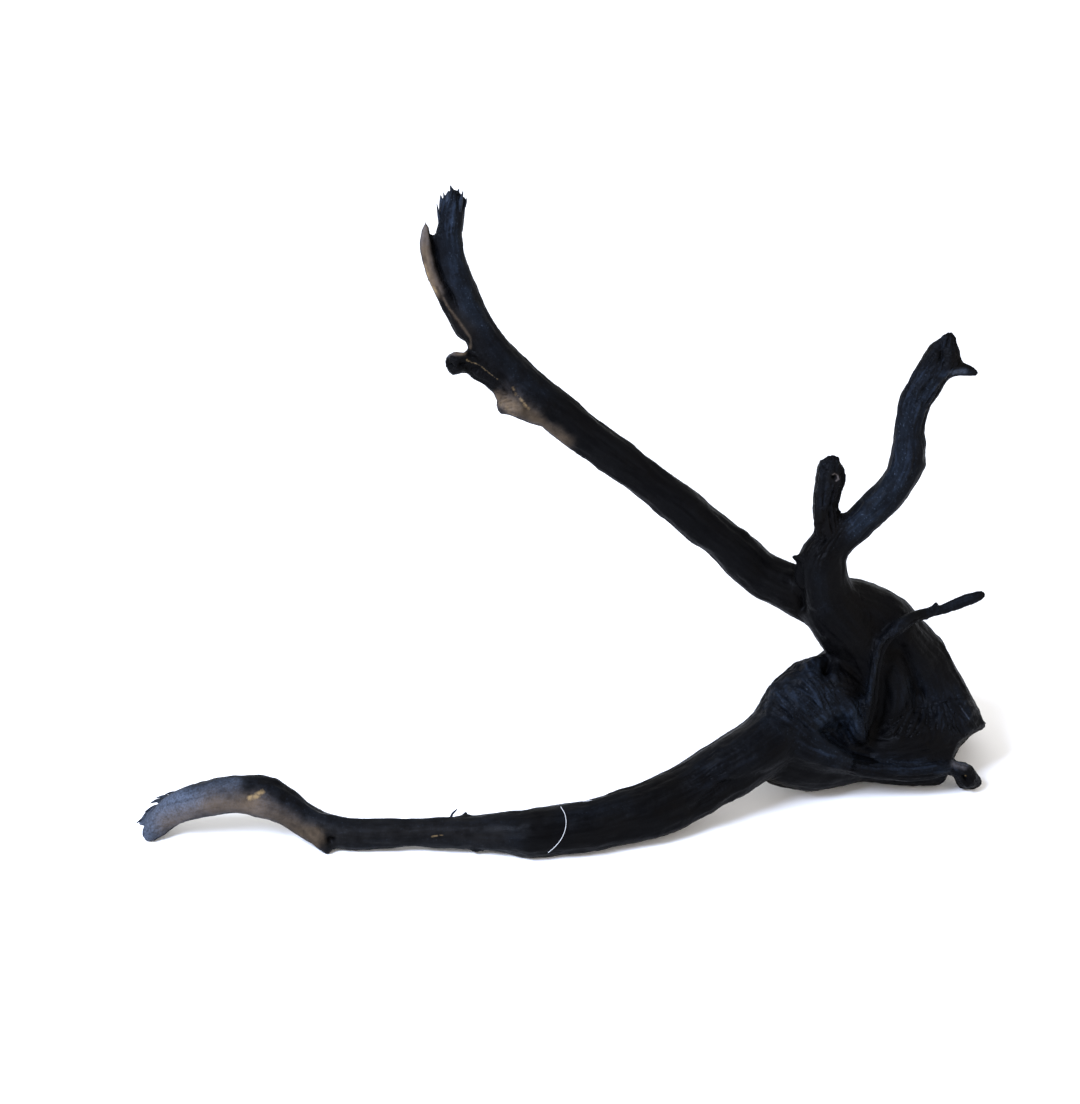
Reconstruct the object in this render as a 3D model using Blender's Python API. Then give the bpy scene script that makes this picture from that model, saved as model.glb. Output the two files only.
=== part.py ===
"""A bog wood root about 64 cm wide, standing on the floor on its stump and its lower arm.

The wood grew as one piece. It is modelled whole, then parted at its forks into named solids that stand
0.3 mm from each other. Metres, +Z up, with the origin on the floor in the middle of the footprint.

Each limb is a list of stations, read with a ruler from one sighting of the root: millimetres across and
up from the middle of the view, and the radius seen there. What lies along the floor gives the height of
its middle as well, and what stands up gives how far back it is.
"""

import math

import bmesh
import bpy
import numpy as np
from mathutils import Vector, noise

MM = 0.001

# The sighting: looking along +Y and down, from this far off, at a point this high above the floor.
SIGHT_DOWN = math.radians(30)
SIGHT_DISTANCE = 1877.0
AIM_HEIGHT = 204.0
# Where the middle of the footprint lies in the frame of the sighting, in mm along X and Y.
FOOTPRINT_MIDDLE = (22.0, 2.8)

GAP = 0.3
RING_STEP = 4.0
RING_SIDES = 28
SKIN_VOXEL = 1.7
SMOOTH_ROUNDS = 5
SMOOTH_TAKES = 0.55
# How far the skin swells and sinks from place to place, and over what distance.
LUMPS = [(1.1, 19.0), (0.6, 8.5)]
MAIN_FACES = 7800
THIN_FACES = 500

DARK_WOOD = (0.012, 0.0115, 0.0125, 1.0)
DRY_WOOD = (0.035, 0.036, 0.042, 1.0)

# Across, up, height of the middle, radius.
LOWER_ARM = [
    (-280.5, -202.5, 6, 5.6),
    (-274, -195, 12, 8.6),
    (-265, -186.5, 19, 11),
    (-255, -182, 27, 11.8),
    (-243, -178.5, 33, 12.3),
    (-226, -175, 37, 12.8),
    (-209, -175, 37, 13.6),
    (-197, -177.5, 34, 14.2),
    (-185.5, -181.5, 28.5, 13.2),
    (-174, -189, 20.5, 11.8),
    (-162, -196.5, 15, 11.8),
    (-150, -200, 13, 11.8),
    (-134, -202, 12.5, 11.2),
    (-105, -202.5, 13, 10.5),
    (-82, -202, 13.5, 10.4),
    (-60, -202, 14, 11.8),
    (-40, -202, 14.5, 12.9),
    (-24, -201.7, 15.5, 15),
    (-10, -202.8, 16.2, 16.6),
    (10, -200.6, 17, 17),
    (33, -197.9, 18, 17.4),
    (56, -191.8, 19.2, 18.5),
    (79, -185, 21.7, 20.1),
    (102, -175, 26.2, 20.9),
    (125, -161.5, 35.3, 21.5),
    (148, -147.5, 46.3, 22.3),
    (163, -136.5, 53.5, 22.4),
    (176, -125, 60.5, 23),
]
# The broken layer behind the arm's tip, the knot below its arch, a thorn and a spur.
TIP_LAYER = [
    (-262, -184, 21, 9),
    (-273, -187.5, 15.5, 6.8),
    (-281, -191.5, 11, 5),
    (-286.5, -195, 8.5, 2.8),
]
ARCH_KNOT = [
    (-160, -202, 13, 9),
    (-154.5, -210, 7, 6.4),
    (-153, -213.5, 4, 4),
]
ARM_THORN = [
    (-56, -196, 19, 4.5),
    (-53.5, -187.5, 25, 2),
]
ARM_SPUR = [
    (-44, -210, 8, 6),
    (-47, -216, 3, 2.8),
]
# Across, up, back, radius, for this one and every limb below.
UPPER_ARM = [
    (206, -37, 33, 20),
    (189, -30, 38, 18.6),
    (173, -22.5, 41, 16.8),
    (158.5, -16, 44, 16),
    (145.5, -4, 47, 15.8),
    (131, 9.5, 49, 13.9),
    (115, 21, 52, 14.4),
    (101, 33, 55, 14.6),
    (86.5, 44.7, 58, 13.2),
    (72, 56.2, 61, 13),
    (57.5, 66.6, 64, 13.6),
    (29, 87, 70, 13.7),
    (14.4, 98.6, 73, 14.2),
    (0, 110.4, 76, 14.2),
    (-14.4, 123, 79, 14.5),
    (-28.8, 138, 82, 14),
    (-39, 151.5, 85, 13.2),
    (-48, 168.5, 88, 12.4),
    (-55.3, 186, 91, 11.3),
    (-61.2, 203, 94, 10.8),
    (-64.2, 220, 96, 10),
    (-64.7, 237, 98, 9.1),
    (-63.3, 248, 99, 8),
    (-62.3, 255, 100, 6.4),
]
SLIVER = [
    (-54, 160, 85, 8),
    (-63, 172, 86, 6.2),
    (-71, 186, 87, 4.9),
    (-75.3, 194.5, 88, 4.9),
    (-78.9, 203, 89, 4.8),
    (-80.8, 212, 90, 4.8),
    (-82.4, 220.5, 91, 4.3),
    (-82.8, 229, 91, 3.5),
    (-82.6, 236, 92, 1.8),
]
ARM_STUB = [
    (-38, 140, 80, 9.5),
    (-50, 137.5, 76, 7.2),
    (-57, 136.6, 73, 6.8),
    (-60.6, 136, 72, 7.4),
]
BURR_LEDGE = [
    (-46, 131.5, 75, 6.6),
    (-35, 127, 74, 8),
    (-25, 118, 72, 8),
]
BURR = [
    (0, 105, 72, 13.6),
    (-12, 106.3, 68, 11),
    (-19, 106.3, 66, 9),
    (-24.4, 105.5, 65, 6.8),
]
BROKEN_END = [
    [(-62, 252, 99, 5), (-62.4, 261.5, 98, 1.8)],
    [(-58, 248, 101, 4), (-53.5, 254, 102, 2)],
    [(-66, 246, 98, 4), (-68.5, 253.5, 97, 2)],
]
STEM = [
    (220, -46, 28, 22),
    (207, -30, 25, 18.5),
    (202.5, -13, 23, 17.6),
    (205.5, 0, 24, 15.6),
    (211, 8, 25, 13.6),
    (216, 15, 26, 12),
]
STEM_FLAKE = [
    (190, -7, 20, 6),
    (182.8, -3.8, 20, 2.2),
]
STUB = [
    (211, 8, 25, 12),
    (207, 22, 26, 9.6),
    (205.8, 34, 27, 8.8),
    (207, 43, 28, 9.8),
    (209, 54.5, 29, 10.8),
    (210, 61.5, 29, 8.6),
    (211, 65, 29, 4.8),
]
BRANCH = [
    (214, 4, 25, 10.5),
    (225, 15, 26, 10.8),
    (237, 27.6, 27, 11.4),
    (247.5, 37, 29, 12),
    (261, 55.3, 31.5, 12.2),
    (264.8, 65, 33, 12.5),
    (266, 74, 34, 11.8),
    (266, 85, 35.5, 10.8),
    (267.8, 98, 37, 10.7),
    (270.6, 109, 38.5, 10.6),
    (276.3, 118.5, 40, 11.2),
    (283, 129, 41, 11.9),
    (289, 138.5, 42, 12.6),
    (292, 147.5, 43, 10),
    (294, 153.5, 43.5, 5.4),
]
BRANCH_SPUR = [
    (287, 134, 40, 8),
    (299, 132.3, 38, 5.4),
    (308, 130.5, 37, 3.4),
    (314, 128, 36, 2.4),
]
# The stump: its burl, its crown and its sawn butt, each a short thick run.
BURL = [
    (173, -125, -9, 21.5),
    (187, -110, -2, 24.6),
    (200, -101.5, 4, 25.5),
    (212, -104, 12, 25),
]
BURL_FOOT = [
    (172, -142, -12, 24),
    (184, -144.5, -8, 25),
    (196, -145, -4, 25.6),
    (208, -143.5, 2, 25.2),
    (220, -141, 6, 25),
]
SIDE_ROOT_START = [
    (184, -136, -22, 15),
    (198, -143, -25, 12),
    (211, -149, -26, 8.6),
    (219, -151.5, -24, 7.4),
]
CROWN_LEFT = [
    (208, -36, 27, 22),
    (219, -49, 29, 24),
    (232.5, -66, 30, 24.5),
    (243, -90, 30, 29),
    (236, -118, 27, 31),
    (224, -134, 22, 29),
]
CROWN_RIGHT = [
    (222, -42, 34, 22.5),
    (239, -52, 38, 25),
    (259, -77, 43, 30),
    (272, -97, 45, 35.5),
    (280, -116, 42, 37),
    (272, -130, 38, 35),
]
BUTT_FRONT = [
    (232, -134, 16, 30),
    (252, -133, 18, 33),
    (270, -131, 22, 34),
    (285, -126, 28, 36),
]
BUTT_SHELF = [
    (222, -151.5, 5, 13),
    (250, -153, 3, 13),
    (272, -155.5, 2, 12.5),
    (284, -157, 1, 11),
]
BUTT_BACK = [
    (206, -104, 46, 26),
    (226, -97, 58, 33),
    (246, -94, 63, 36),
    (266, -98, 62, 37),
    (284, -108, 58, 35),
]
NAPE = [
    (214, -42, 38, 18),
    (220, -50, 44, 22),
    (230, -62, 52, 28),
    (246, -80, 58, 33),
    (262, -96, 58, 36),
]
TWIG_LUMP = [
    (222, -112, -4, 8.5),
    (229, -122, -8, 8.6),
    (230, -130, -12, 7.6),
]
TWIG = [
    (230, -133, -12.5, 7.2),
    (233.5, -122, -10, 6),
    (237, -111, -7.5, 5.4),
    (240, -99, -5.5, 4.8),
    (242, -83, -2, 4.3),
    (245.5, -68.5, 2.5, 4.3),
    (253.5, -58.5, 9, 4.1),
    (267, -48.5, 18, 3.9),
    (278, -44.7, 25, 3.7),
    (287, -42.5, 29, 3.4),
    (298, -38.7, 31, 3.4),
    (307, -34.7, 33, 3.8),
    (314.5, -32, 35, 3),
    (318, -30.8, 35.5, 3),
]
TWIG_THORN = [
    (283, -42, 27, 3),
    (285.5, -37.2, 27, 1.8),
]
SIDE_ROOT = [
    (219, -151.5, -24, 7.2),
    (229, -154, -21, 7),
    (250, -157, -19, 7),
    (274, -157.5, -17, 6.8),
    (290, -155.5, -14, 5.8),
    (297, -155, -12, 5.4),
    (302, -157.8, -10, 7),
    (307, -162.8, -8, 8.8),
]

# What belongs to the near side: the nearest surface in each cell of the view, and what lies less than
# this far behind it.
VIEW_CELL = 3.0
NEAR_DEPTH = 22.0
# Marks pressed into the near side, or raised from it: the line that they follow, across and up, then how
# wide, and how far in (or out, where negative).
MARKS = [
    ([(207, -77), (206, -99), (217, -120), (228, -137), (244, -147)], 6, 4.5),
    ([(254, -68), (248, -99), (243, -132)], 8, 8),
    ([(264, -72), (270, -94), (277, -106)], 7, 4),
    ([(208, -81)], 5, 8),
    ([(224, -114)], 6, -3),
    ([(129.5, -143.5), (129.5, -153.5)], 6, -2.5),
    ([(122, -163), (140, -170)], 5, 2.5),
    ([(-77.5, 222), (-74.5, 206), (-66, 184)], 2.4, 4),
    ([(211, 52)], 3.2, 4.5),
    ([(-151, -208)], 2.6, 3.5),
    ([(-56, 139), (-42, 134), (-28, 121), (-18, 112)], 3.5, 2.5),
    ([(184.5, -10), (187, -42)], 3, 3.5),
    ([(277, 62)], 4, -1.6),
    ([(148, 16)], 6, -2),
    ([(290, 136), (288, 147)], 3.5, 2.5),
]

# The sawn face runs through these two places, as far back as this, and turns a little to the near side.
SAWN_EDGE = [(293.1, -71.5), (320.4, -123.4)]
SAWN_BACK = 30
SAWN_TURN = math.radians(9)
# The corner below the sawn face is broken out in a round hollow.
BROKEN_CORNER = (331.5, -159, 20)
BROKEN_CORNER_RADIUS = 35
SAW_REACH = 150.0
SAWN_HALF = 52.0
FLOOR_REACH = 2000.0

# Where the root is parted: across, up, back, which way across the sighting the limb runs there (across
# and up), and how far the cut reaches from the limb's middle.
FORKS = {
    "lower_arm": ((133, -156, -35), (-0.85, -0.53), 31),
    "upper_arm": ((172, -21.5, 41), (-0.91, 0.42), 24),
    "stem": ((202.5, -9.5, 23.5), (0.36, 0.93), 25),
    "stub": ((206.5, 31, 27), (-0.1, 0.99), 12.2),
    "branch": ((234.5, 24.5, 27), (0.66, 0.75), 15),
}
# One place inside each parted limb, across, up and back, to know it by.
KNOWN_BY = {
    "stump": (250, -110, 35),
    "lower_arm": (33, -197, -78),
    "upper_arm": (57.5, 66.6, 64),
    "forked_stem": (206, 4, 24),
    "knobbed_stub": (207, 43, 28),
    "right_branch": (266, 80, 35),
}


def sight_line(across, up):
    """(eye, far): the eye, and the point of the view's middle plane that lies at (across, up)."""
    back = -SIGHT_DISTANCE * math.cos(SIGHT_DOWN)
    height = AIM_HEIGHT + SIGHT_DISTANCE * math.sin(SIGHT_DOWN)
    shift = np.array([*FOOTPRINT_MIDDLE, 0.0])
    far = [across, up * math.sin(SIGHT_DOWN), AIM_HEIGHT + up * math.cos(SIGHT_DOWN)]
    return np.array([0.0, back, height]) - shift, np.array(far) - shift


def at_depth(across, up, back):
    """(point, share): where the sight line through (across, up) is this far back, and how much further
    off than the view's middle plane that is."""
    eye, far = sight_line(across, up)
    share = (back - FOOTPRINT_MIDDLE[1] - eye[1]) / (far[1] - eye[1])
    return eye + share * (far - eye), share


def at_height(across, up, height):
    """(point, share), as at_depth gives them, where the sight line is this high above the floor."""
    eye, far = sight_line(across, up)
    share = (height - eye[2]) / (far[2] - eye[2])
    return eye + share * (far - eye), share


def sighted(points):
    """(across, up) of each point, and how far it lies from the eye along the sighting."""
    eye, middle = sight_line(0, 0)
    ahead = (middle - eye) / SIGHT_DISTANCE
    upward = np.array([0.0, math.sin(SIGHT_DOWN), math.cos(SIGHT_DOWN)])
    away = (points - eye) @ ahead
    scale = SIGHT_DISTANCE / away
    return np.stack([(points[:, 0] - eye[0]) * scale, ((points - eye) @ upward) * scale], axis=1), away


def placed(stations, place=at_depth):
    """The stations as rows of x, y, z and true radius, in mm."""
    rows = []
    for across, up, along, radius in stations:
        point, share = place(across, up, along)
        rows.append([*point, radius * share])
    return np.array(rows)


def smooth_run(rows, step):
    """The rows as a smooth curve through them, a point every step mm: cubic pieces whose slope at each
    row is the mean slope to its neighbours."""
    along = np.concatenate([[0.0], np.cumsum(np.linalg.norm(np.diff(rows[:, :3], axis=0), axis=1))])
    slopes = np.gradient(rows, along, axis=0)
    wanted = np.linspace(0.0, along[-1], max(2, round(along[-1] / step) + 1))
    piece = np.clip(np.searchsorted(along, wanted, side="right") - 1, 0, len(rows) - 2)
    length = (along[piece + 1] - along[piece])[:, None]
    t = (wanted - along[piece])[:, None] / length
    start = (1 + 2 * t) * (1 - t) ** 2 * rows[piece] + t * (1 - t) ** 2 * length * slopes[piece]
    end = t * t * (3 - 2 * t) * rows[piece + 1] + t * t * (t - 1) * length * slopes[piece + 1]
    return start + end, wanted


def carried_frames(points):
    """(side, over, way) at each point: two directions across the path, turned as little as they can be,
    and the path's own direction."""
    ways = np.gradient(points, axis=0)
    ways /= np.linalg.norm(ways, axis=1)[:, None]
    side = Vector((0.0, 0.0, 1.0)).cross(Vector(ways[0]))
    side = (side if side.length > 0.1 else Vector((1.0, 0.0, 0.0))).normalized()
    sides = []
    for way in ways:
        side = (side - side.dot(Vector(way)) * Vector(way)).normalized()
        sides.append(side)
    sides = np.array(sides)
    return sides, np.cross(ways, sides), ways


def waver(along, angle, phase):
    """How far from round the wood is: slow two, three and five sided swells that wind along it."""
    two = 0.026 * np.sin(2 * angle + phase + along / 55)
    three = 0.020 * np.sin(3 * angle + 2.1 * phase - along / 42)
    five = 0.012 * np.sin(5 * angle + 3.3 * phase + along / 27)
    return 1 + two + three + five


def add_limb(bm, rows, phase):
    """Rings carried along the rows' smooth curve, joined into a closed tube with round ends."""
    run, along = smooth_run(rows, RING_STEP)
    side, over, way = carried_frames(run[:, :3])
    angles = np.linspace(0, 2 * math.pi, RING_SIDES, endpoint=False)
    last = len(run) - 1
    bends = [math.radians(bend) for bend in (25, 50, 80)]
    rings = [(0, -math.sin(bend), math.cos(bend)) for bend in reversed(bends)]
    rings += [(i, 0.0, 1.0) for i in range(len(run))]
    rings += [(last, math.sin(bend), math.cos(bend)) for bend in bends]
    loops = []
    for i, out, share in rings:
        radius = run[i, 3] * share * waver(along[i], angles, phase)
        middle = run[i, :3] + way[i] * out * run[i, 3]
        spokes = np.cos(angles)[:, None] * side[i] + np.sin(angles)[:, None] * over[i]
        loops.append([bm.verts.new(p * MM) for p in middle + spokes * radius[:, None]])
    for first, second in zip(loops, loops[1:]):
        for k in range(RING_SIDES):
            n = (k + 1) % RING_SIDES
            bm.faces.new((first[k], first[n], second[n], second[k]))
    bm.faces.new(loops[0][::-1])
    bm.faces.new(loops[-1])


def object_of(bm, name):
    """A new object in the scene that holds this bmesh."""
    mesh = bpy.data.meshes.new(name)
    bm.to_mesh(mesh)
    bm.free()
    obj = bpy.data.objects.new(name, mesh)
    bpy.context.scene.collection.objects.link(obj)
    return obj


def made_real(obj):
    """Turns the object's modifiers into its mesh."""
    graph = bpy.context.evaluated_depsgraph_get()
    mesh = bpy.data.meshes.new_from_object(obj.evaluated_get(graph))
    obj.modifiers.clear()
    obj.data = mesh


def fused(name, limbs):
    """One closed skin round all the limbs, each (rows, phase)."""
    bm = bmesh.new()
    for rows, phase in limbs:
        add_limb(bm, rows, phase)
    obj = object_of(bm, name)
    skin = obj.modifiers.new("Skin", "REMESH")
    skin.mode = "VOXEL"
    skin.voxel_size = SKIN_VOXEL * MM
    made_real(obj)
    return obj


def line_distance(places, line):
    """How far each place lies from the line, both across and up in mm."""
    line = np.array(line, float)
    if len(line) == 1:
        return np.linalg.norm(places - line[0], axis=1)
    nearest = np.full(len(places), np.inf)
    for start, end in zip(line, line[1:]):
        way = end - start
        share = np.clip((places - start) @ way / (way @ way), 0, 1)
        nearest = np.minimum(nearest, np.linalg.norm(places - start - share[:, None] * way, axis=1))
    return nearest


def near_side(points, normals, places, away):
    """From 0 to 1, how much each point belongs to the nearest surface along its sight line."""
    eye, middle = sight_line(0, 0)
    facing = -normals @ ((middle - eye) / SIGHT_DISTANCE)
    keys = np.floor(places / VIEW_CELL).astype(int)
    keys -= keys.min(axis=0)
    width = keys[:, 1].max() + 1
    flat = keys[:, 0] * width + keys[:, 1]
    nearest = np.full(flat.max() + 1, np.inf)
    np.minimum.at(nearest, flat, away)
    shallow = away - nearest[flat] < NEAR_DEPTH
    return np.clip(facing * 2.5, 0, 1) * shallow


def weathered(obj, marks, seed):
    """Moves the skin in and out: the marks on its near side, then lumps all over it."""
    mesh = obj.data
    count = len(mesh.vertices)
    points = np.empty(count * 3, np.float32)
    normals = np.empty(count * 3, np.float32)
    mesh.vertices.foreach_get("co", points)
    mesh.vertex_normals.foreach_get("vector", normals)
    points = points.reshape(-1, 3).astype(float) / MM
    normals = normals.reshape(-1, 3).astype(float)
    places, away = sighted(points)
    near = near_side(points, normals, places, away)
    out = np.zeros(count)
    for line, wide, deep in marks:
        out -= deep * np.exp(-((line_distance(places, line) / wide) ** 2)) * near
    for high, over in LUMPS:
        out += high * np.array([noise.noise(Vector(p / over + seed)) for p in points])
    points += normals * out[:, None]
    mesh.vertices.foreach_set("co", (points * MM).ravel())
    mesh.update()


def finished(obj, faces):
    """Smooths the skin and thins it to about this many triangles."""
    smooth = obj.modifiers.new("Smooth", "SMOOTH")
    smooth.factor = 0.5
    smooth.iterations = SMOOTH_ROUNDS
    restore = obj.modifiers.new("Restore", "DISPLACE")
    restore.strength = SMOOTH_TAKES * MM
    restore.mid_level = 0
    made_real(obj)
    thin = obj.modifiers.new("Thin", "DECIMATE")
    thin.ratio = faces / (2 * len(obj.data.polygons))
    thin.use_collapse_triangulate = True
    made_real(obj)


def block(name, middle, axes, size):
    """A hidden block for cutting: its middle in mm, its own three axes, and its size along each."""
    bm = bmesh.new()
    bmesh.ops.create_cube(bm, size=1)
    turn = np.array(axes, float)
    for v in bm.verts:
        v.co = Vector((np.array(middle) + (np.array(v.co) * size) @ turn) * MM)
    cutter = object_of(bm, name)
    cutter.hide_render = True
    cutter.display_type = "WIRE"
    return cutter


def cut(obj, cutter):
    """Takes the cutter's shape out of the object."""
    away = obj.modifiers.new("Cut", "BOOLEAN")
    away.operation = "DIFFERENCE"
    away.solver = "EXACT"
    away.object = cutter
    made_real(obj)
    bpy.data.objects.remove(cutter, do_unlink=True)


def sighting_axes():
    """The sighting's own axes: across, up, and away from the eye."""
    upward = np.array([0.0, math.sin(SIGHT_DOWN), math.cos(SIGHT_DOWN)])
    ahead = np.array([0.0, math.cos(SIGHT_DOWN), -math.sin(SIGHT_DOWN)])
    return np.array([1.0, 0.0, 0.0]), upward, ahead


def square_to(normal):
    """Three axes square to each other, of which the first is the normal."""
    normal = np.array(normal) / np.linalg.norm(normal)
    second = np.cross([0.0, 1.0, 0.0], normal)
    second /= np.linalg.norm(second)
    return [normal, second, np.cross(normal, second)]


def saw_the_butt(obj):
    """The straight sawn face at the right, the broken corner below it, and the worn flats underneath."""
    across, _, ahead = sighting_axes()
    high, low = (at_depth(*place, SAWN_BACK)[0] for place in SAWN_EDGE)
    edge = (low - high) / np.linalg.norm(low - high)
    outward = np.cross(ahead, edge)
    outward *= np.sign(outward @ across)
    outward = outward / np.linalg.norm(outward) * math.cos(SAWN_TURN) - ahead * math.sin(SAWN_TURN)
    axes = square_to(outward)
    axes[2] = edge
    axes[1] = np.cross(edge, axes[0])
    size = (SAW_REACH, 2 * SAW_REACH, 2 * SAWN_HALF)
    cut(obj, block("saw", (high + low) / 2 + axes[0] * SAW_REACH / 2, axes, size))

    middle, share = at_depth(*BROKEN_CORNER)
    bm = bmesh.new()
    radius = BROKEN_CORNER_RADIUS * share
    bmesh.ops.create_cone(
        bm, cap_ends=True, segments=40, radius1=radius, radius2=radius, depth=2 * SAW_REACH
    )
    line = middle - sight_line(0, 0)[0]
    turn = np.array(square_to(line))[[1, 2, 0]]
    for v in bm.verts:
        v.co = Vector((middle + np.array(v.co) @ turn) * MM)
    corner = object_of(bm, "corner")
    corner.hide_render = True
    corner.display_type = "WIRE"
    cut(obj, corner)
    stand_on_floor(obj)


def stand_on_floor(obj):
    """Takes off what would lie below the floor, which leaves small worn flats to stand on."""
    size = (FLOOR_REACH, FLOOR_REACH, SAW_REACH)
    cut(obj, block("floor", (0, 0, -SAW_REACH / 2), np.eye(3), size))


def part_at_fork(obj, place, way, reach):
    """Takes a slice as thin as the gap out of the limb, square to the way it runs."""
    across, upward, _ = sighting_axes()
    middle, share = at_depth(*place)
    axes = square_to(way[0] * across + way[1] * upward)
    size = (GAP, 2 * reach * share, 2 * reach * share)
    cut(obj, block("kerf", middle, axes, size))


def islands(obj):
    """The object's separate bodies, each a list of face indices, largest first."""
    bm = bmesh.new()
    bm.from_mesh(obj.data)
    bm.faces.ensure_lookup_table()
    left = set(range(len(bm.faces)))
    found = []
    while left:
        body = []
        waiting = [bm.faces[left.pop()]]
        while waiting:
            face = waiting.pop()
            body.append(face.index)
            for edge in face.edges:
                for other in edge.link_faces:
                    if other.index in left:
                        left.remove(other.index)
                        waiting.append(other)
        found.append(body)
    bm.free()
    return sorted(found, key=len, reverse=True)


def body_of(obj, faces, name):
    """A new object that holds only these faces."""
    bm = bmesh.new()
    bm.from_mesh(obj.data)
    kept = set(faces)
    gone = [face for face in bm.faces if face.index not in kept]
    bmesh.ops.delete(bm, geom=gone, context="FACES")
    return object_of(bm, name)


def only_largest(obj):
    """The object without the crumbs that a cut left beside it."""
    kept = body_of(obj, islands(obj)[0], obj.name + ".kept")
    name = obj.name
    bpy.data.objects.remove(obj, do_unlink=True)
    kept.name = name
    return kept


def closest_body(bodies, point):
    """The body whose faces come nearest to this point, which lies inside one of them."""
    place = Vector(point * MM)
    return min(bodies, key=lambda body: (body.closest_point_on_mesh(place)[1] - place).length)


def seated(obj, seat):
    """Cuts the object to the seat's skin, grown by the gap, and keeps what stands outside it."""
    grown = seat.copy()
    grown.data = seat.data.copy()
    bpy.context.scene.collection.objects.link(grown)
    swell = grown.modifiers.new("Swell", "DISPLACE")
    swell.strength = GAP * MM
    swell.mid_level = 0
    made_real(grown)
    grown.hide_render = True
    grown.display_type = "WIRE"
    cut(obj, grown)
    return only_largest(obj)


def wood(name, colour, roughness):
    """A plain wood of this colour."""
    material = bpy.data.materials.new(name)
    material.use_nodes = True
    shader = material.node_tree.nodes["Principled BSDF"]
    shader.inputs["Base Color"].default_value = colour
    shader.inputs["Roughness"].default_value = roughness
    shader.inputs["Metallic"].default_value = 0.0
    return material


def clear_scene():
    for obj in list(bpy.data.objects):
        bpy.data.objects.remove(obj, do_unlink=True)


def whole_root():
    """The root without its two thin roots: fused, weathered, thinned and sawn."""
    floor_limbs = [LOWER_ARM, TIP_LAYER, ARCH_KNOT, ARM_THORN, ARM_SPUR]
    other_limbs = [UPPER_ARM, SLIVER, ARM_STUB, BURR_LEDGE, BURR, *BROKEN_END, STEM, STEM_FLAKE, STUB]
    other_limbs += [BRANCH, BRANCH_SPUR, BURL, BURL_FOOT, SIDE_ROOT_START, CROWN_LEFT, CROWN_RIGHT]
    other_limbs += [BUTT_FRONT, BUTT_SHELF, BUTT_BACK, NAPE, TWIG_LUMP]
    rows = [placed(limb, at_height) for limb in floor_limbs] + [placed(limb) for limb in other_limbs]
    root = fused("root", [(limb, 0.4 + 1.3 * k) for k, limb in enumerate(rows)])
    weathered(root, MARKS, seed=3)
    finished(root, MAIN_FACES)
    saw_the_butt(root)
    return only_largest(root)


def thin_root(name, limbs, seed, seat):
    """A thin root that grows from the seat, with its foot cut to the seat's skin."""
    thin = fused(name, [(placed(limb), seed) for limb in limbs])
    weathered(thin, [], seed)
    finished(thin, THIN_FACES)
    stand_on_floor(thin)
    return seated(thin, seat)


def main():
    clear_scene()
    root = whole_root()
    thin_root("thin_twig", [TWIG, TWIG_THORN], 0.3, root)
    thin_root("side_root", [SIDE_ROOT], 1.3, root)

    for place, way, reach in FORKS.values():
        part_at_fork(root, place, way, reach)
    bodies = [body_of(root, faces, "body") for faces in islands(root)[: len(KNOWN_BY)]]
    for name, place in KNOWN_BY.items():
        closest_body(bodies, at_depth(*place)[0]).name = name
    bpy.data.objects.remove(root, do_unlink=True)

    for obj in bpy.context.scene.objects:
        dry = obj.name in ("lower_arm", "upper_arm")
        finish = wood(obj.name + "_wood", DRY_WOOD if dry else DARK_WOOD, 0.62 if dry else 0.5)
        obj.data.materials.clear()
        obj.data.materials.append(finish)
        obj.data.shade_smooth()
        obj.data.set_sharp_from_angle(angle=math.radians(50))


main()
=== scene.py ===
"""The looks of a bog wood root about 64 cm wide, standing on its sawn stump and its long lower arm.

The skin is worked out from the same stations as the solids: each limb is a profile carried along a path,
and the limbs are fused into one skin, cut, filleted where they meet, and then worked over as arrays with
streaks that follow the grain, wrinkles, creases, scars and pits. The skin is parted at the forks along
edges that both sides share, so that no seam shows, and each piece stands for its own solid.
"""

import logging
import math
from dataclasses import dataclass, field
from enum import Enum

import bpy
import numpy as np
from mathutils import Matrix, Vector


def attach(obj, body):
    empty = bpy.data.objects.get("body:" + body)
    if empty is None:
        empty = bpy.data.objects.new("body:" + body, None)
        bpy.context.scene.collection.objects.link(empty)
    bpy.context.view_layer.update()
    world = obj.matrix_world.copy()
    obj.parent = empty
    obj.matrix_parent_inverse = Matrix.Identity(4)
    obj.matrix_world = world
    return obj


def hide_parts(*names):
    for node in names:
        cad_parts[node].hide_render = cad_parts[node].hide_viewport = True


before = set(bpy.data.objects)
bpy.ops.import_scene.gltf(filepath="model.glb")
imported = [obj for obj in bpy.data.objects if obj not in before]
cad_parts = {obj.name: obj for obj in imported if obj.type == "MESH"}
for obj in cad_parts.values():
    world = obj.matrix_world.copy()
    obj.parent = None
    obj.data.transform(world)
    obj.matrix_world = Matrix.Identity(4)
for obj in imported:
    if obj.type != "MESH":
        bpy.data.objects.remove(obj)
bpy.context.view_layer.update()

LOG = logging.getLogger("bog_wood_root")
MM = 0.001
Array = np.ndarray
Stations = list[tuple[float, float, float, float]]
Tree = bpy.types.NodeTree
Socket = bpy.types.NodeSocket


def linear(code: str) -> tuple[float, float, float, float]:
    """An sRGB hex colour as linear red, green, blue and alpha.

    Args:
        code: six hex digits after a hash sign.

    Returns:
        The colour that shader sockets take.
    """
    parts = [int(code[i : i + 2], 16) / 255 for i in (1, 3, 5)]
    parts = [c / 12.92 if c <= 0.04045 else ((c + 0.055) / 1.055) ** 2.4 for c in parts]
    return (*parts, 1.0)


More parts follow.
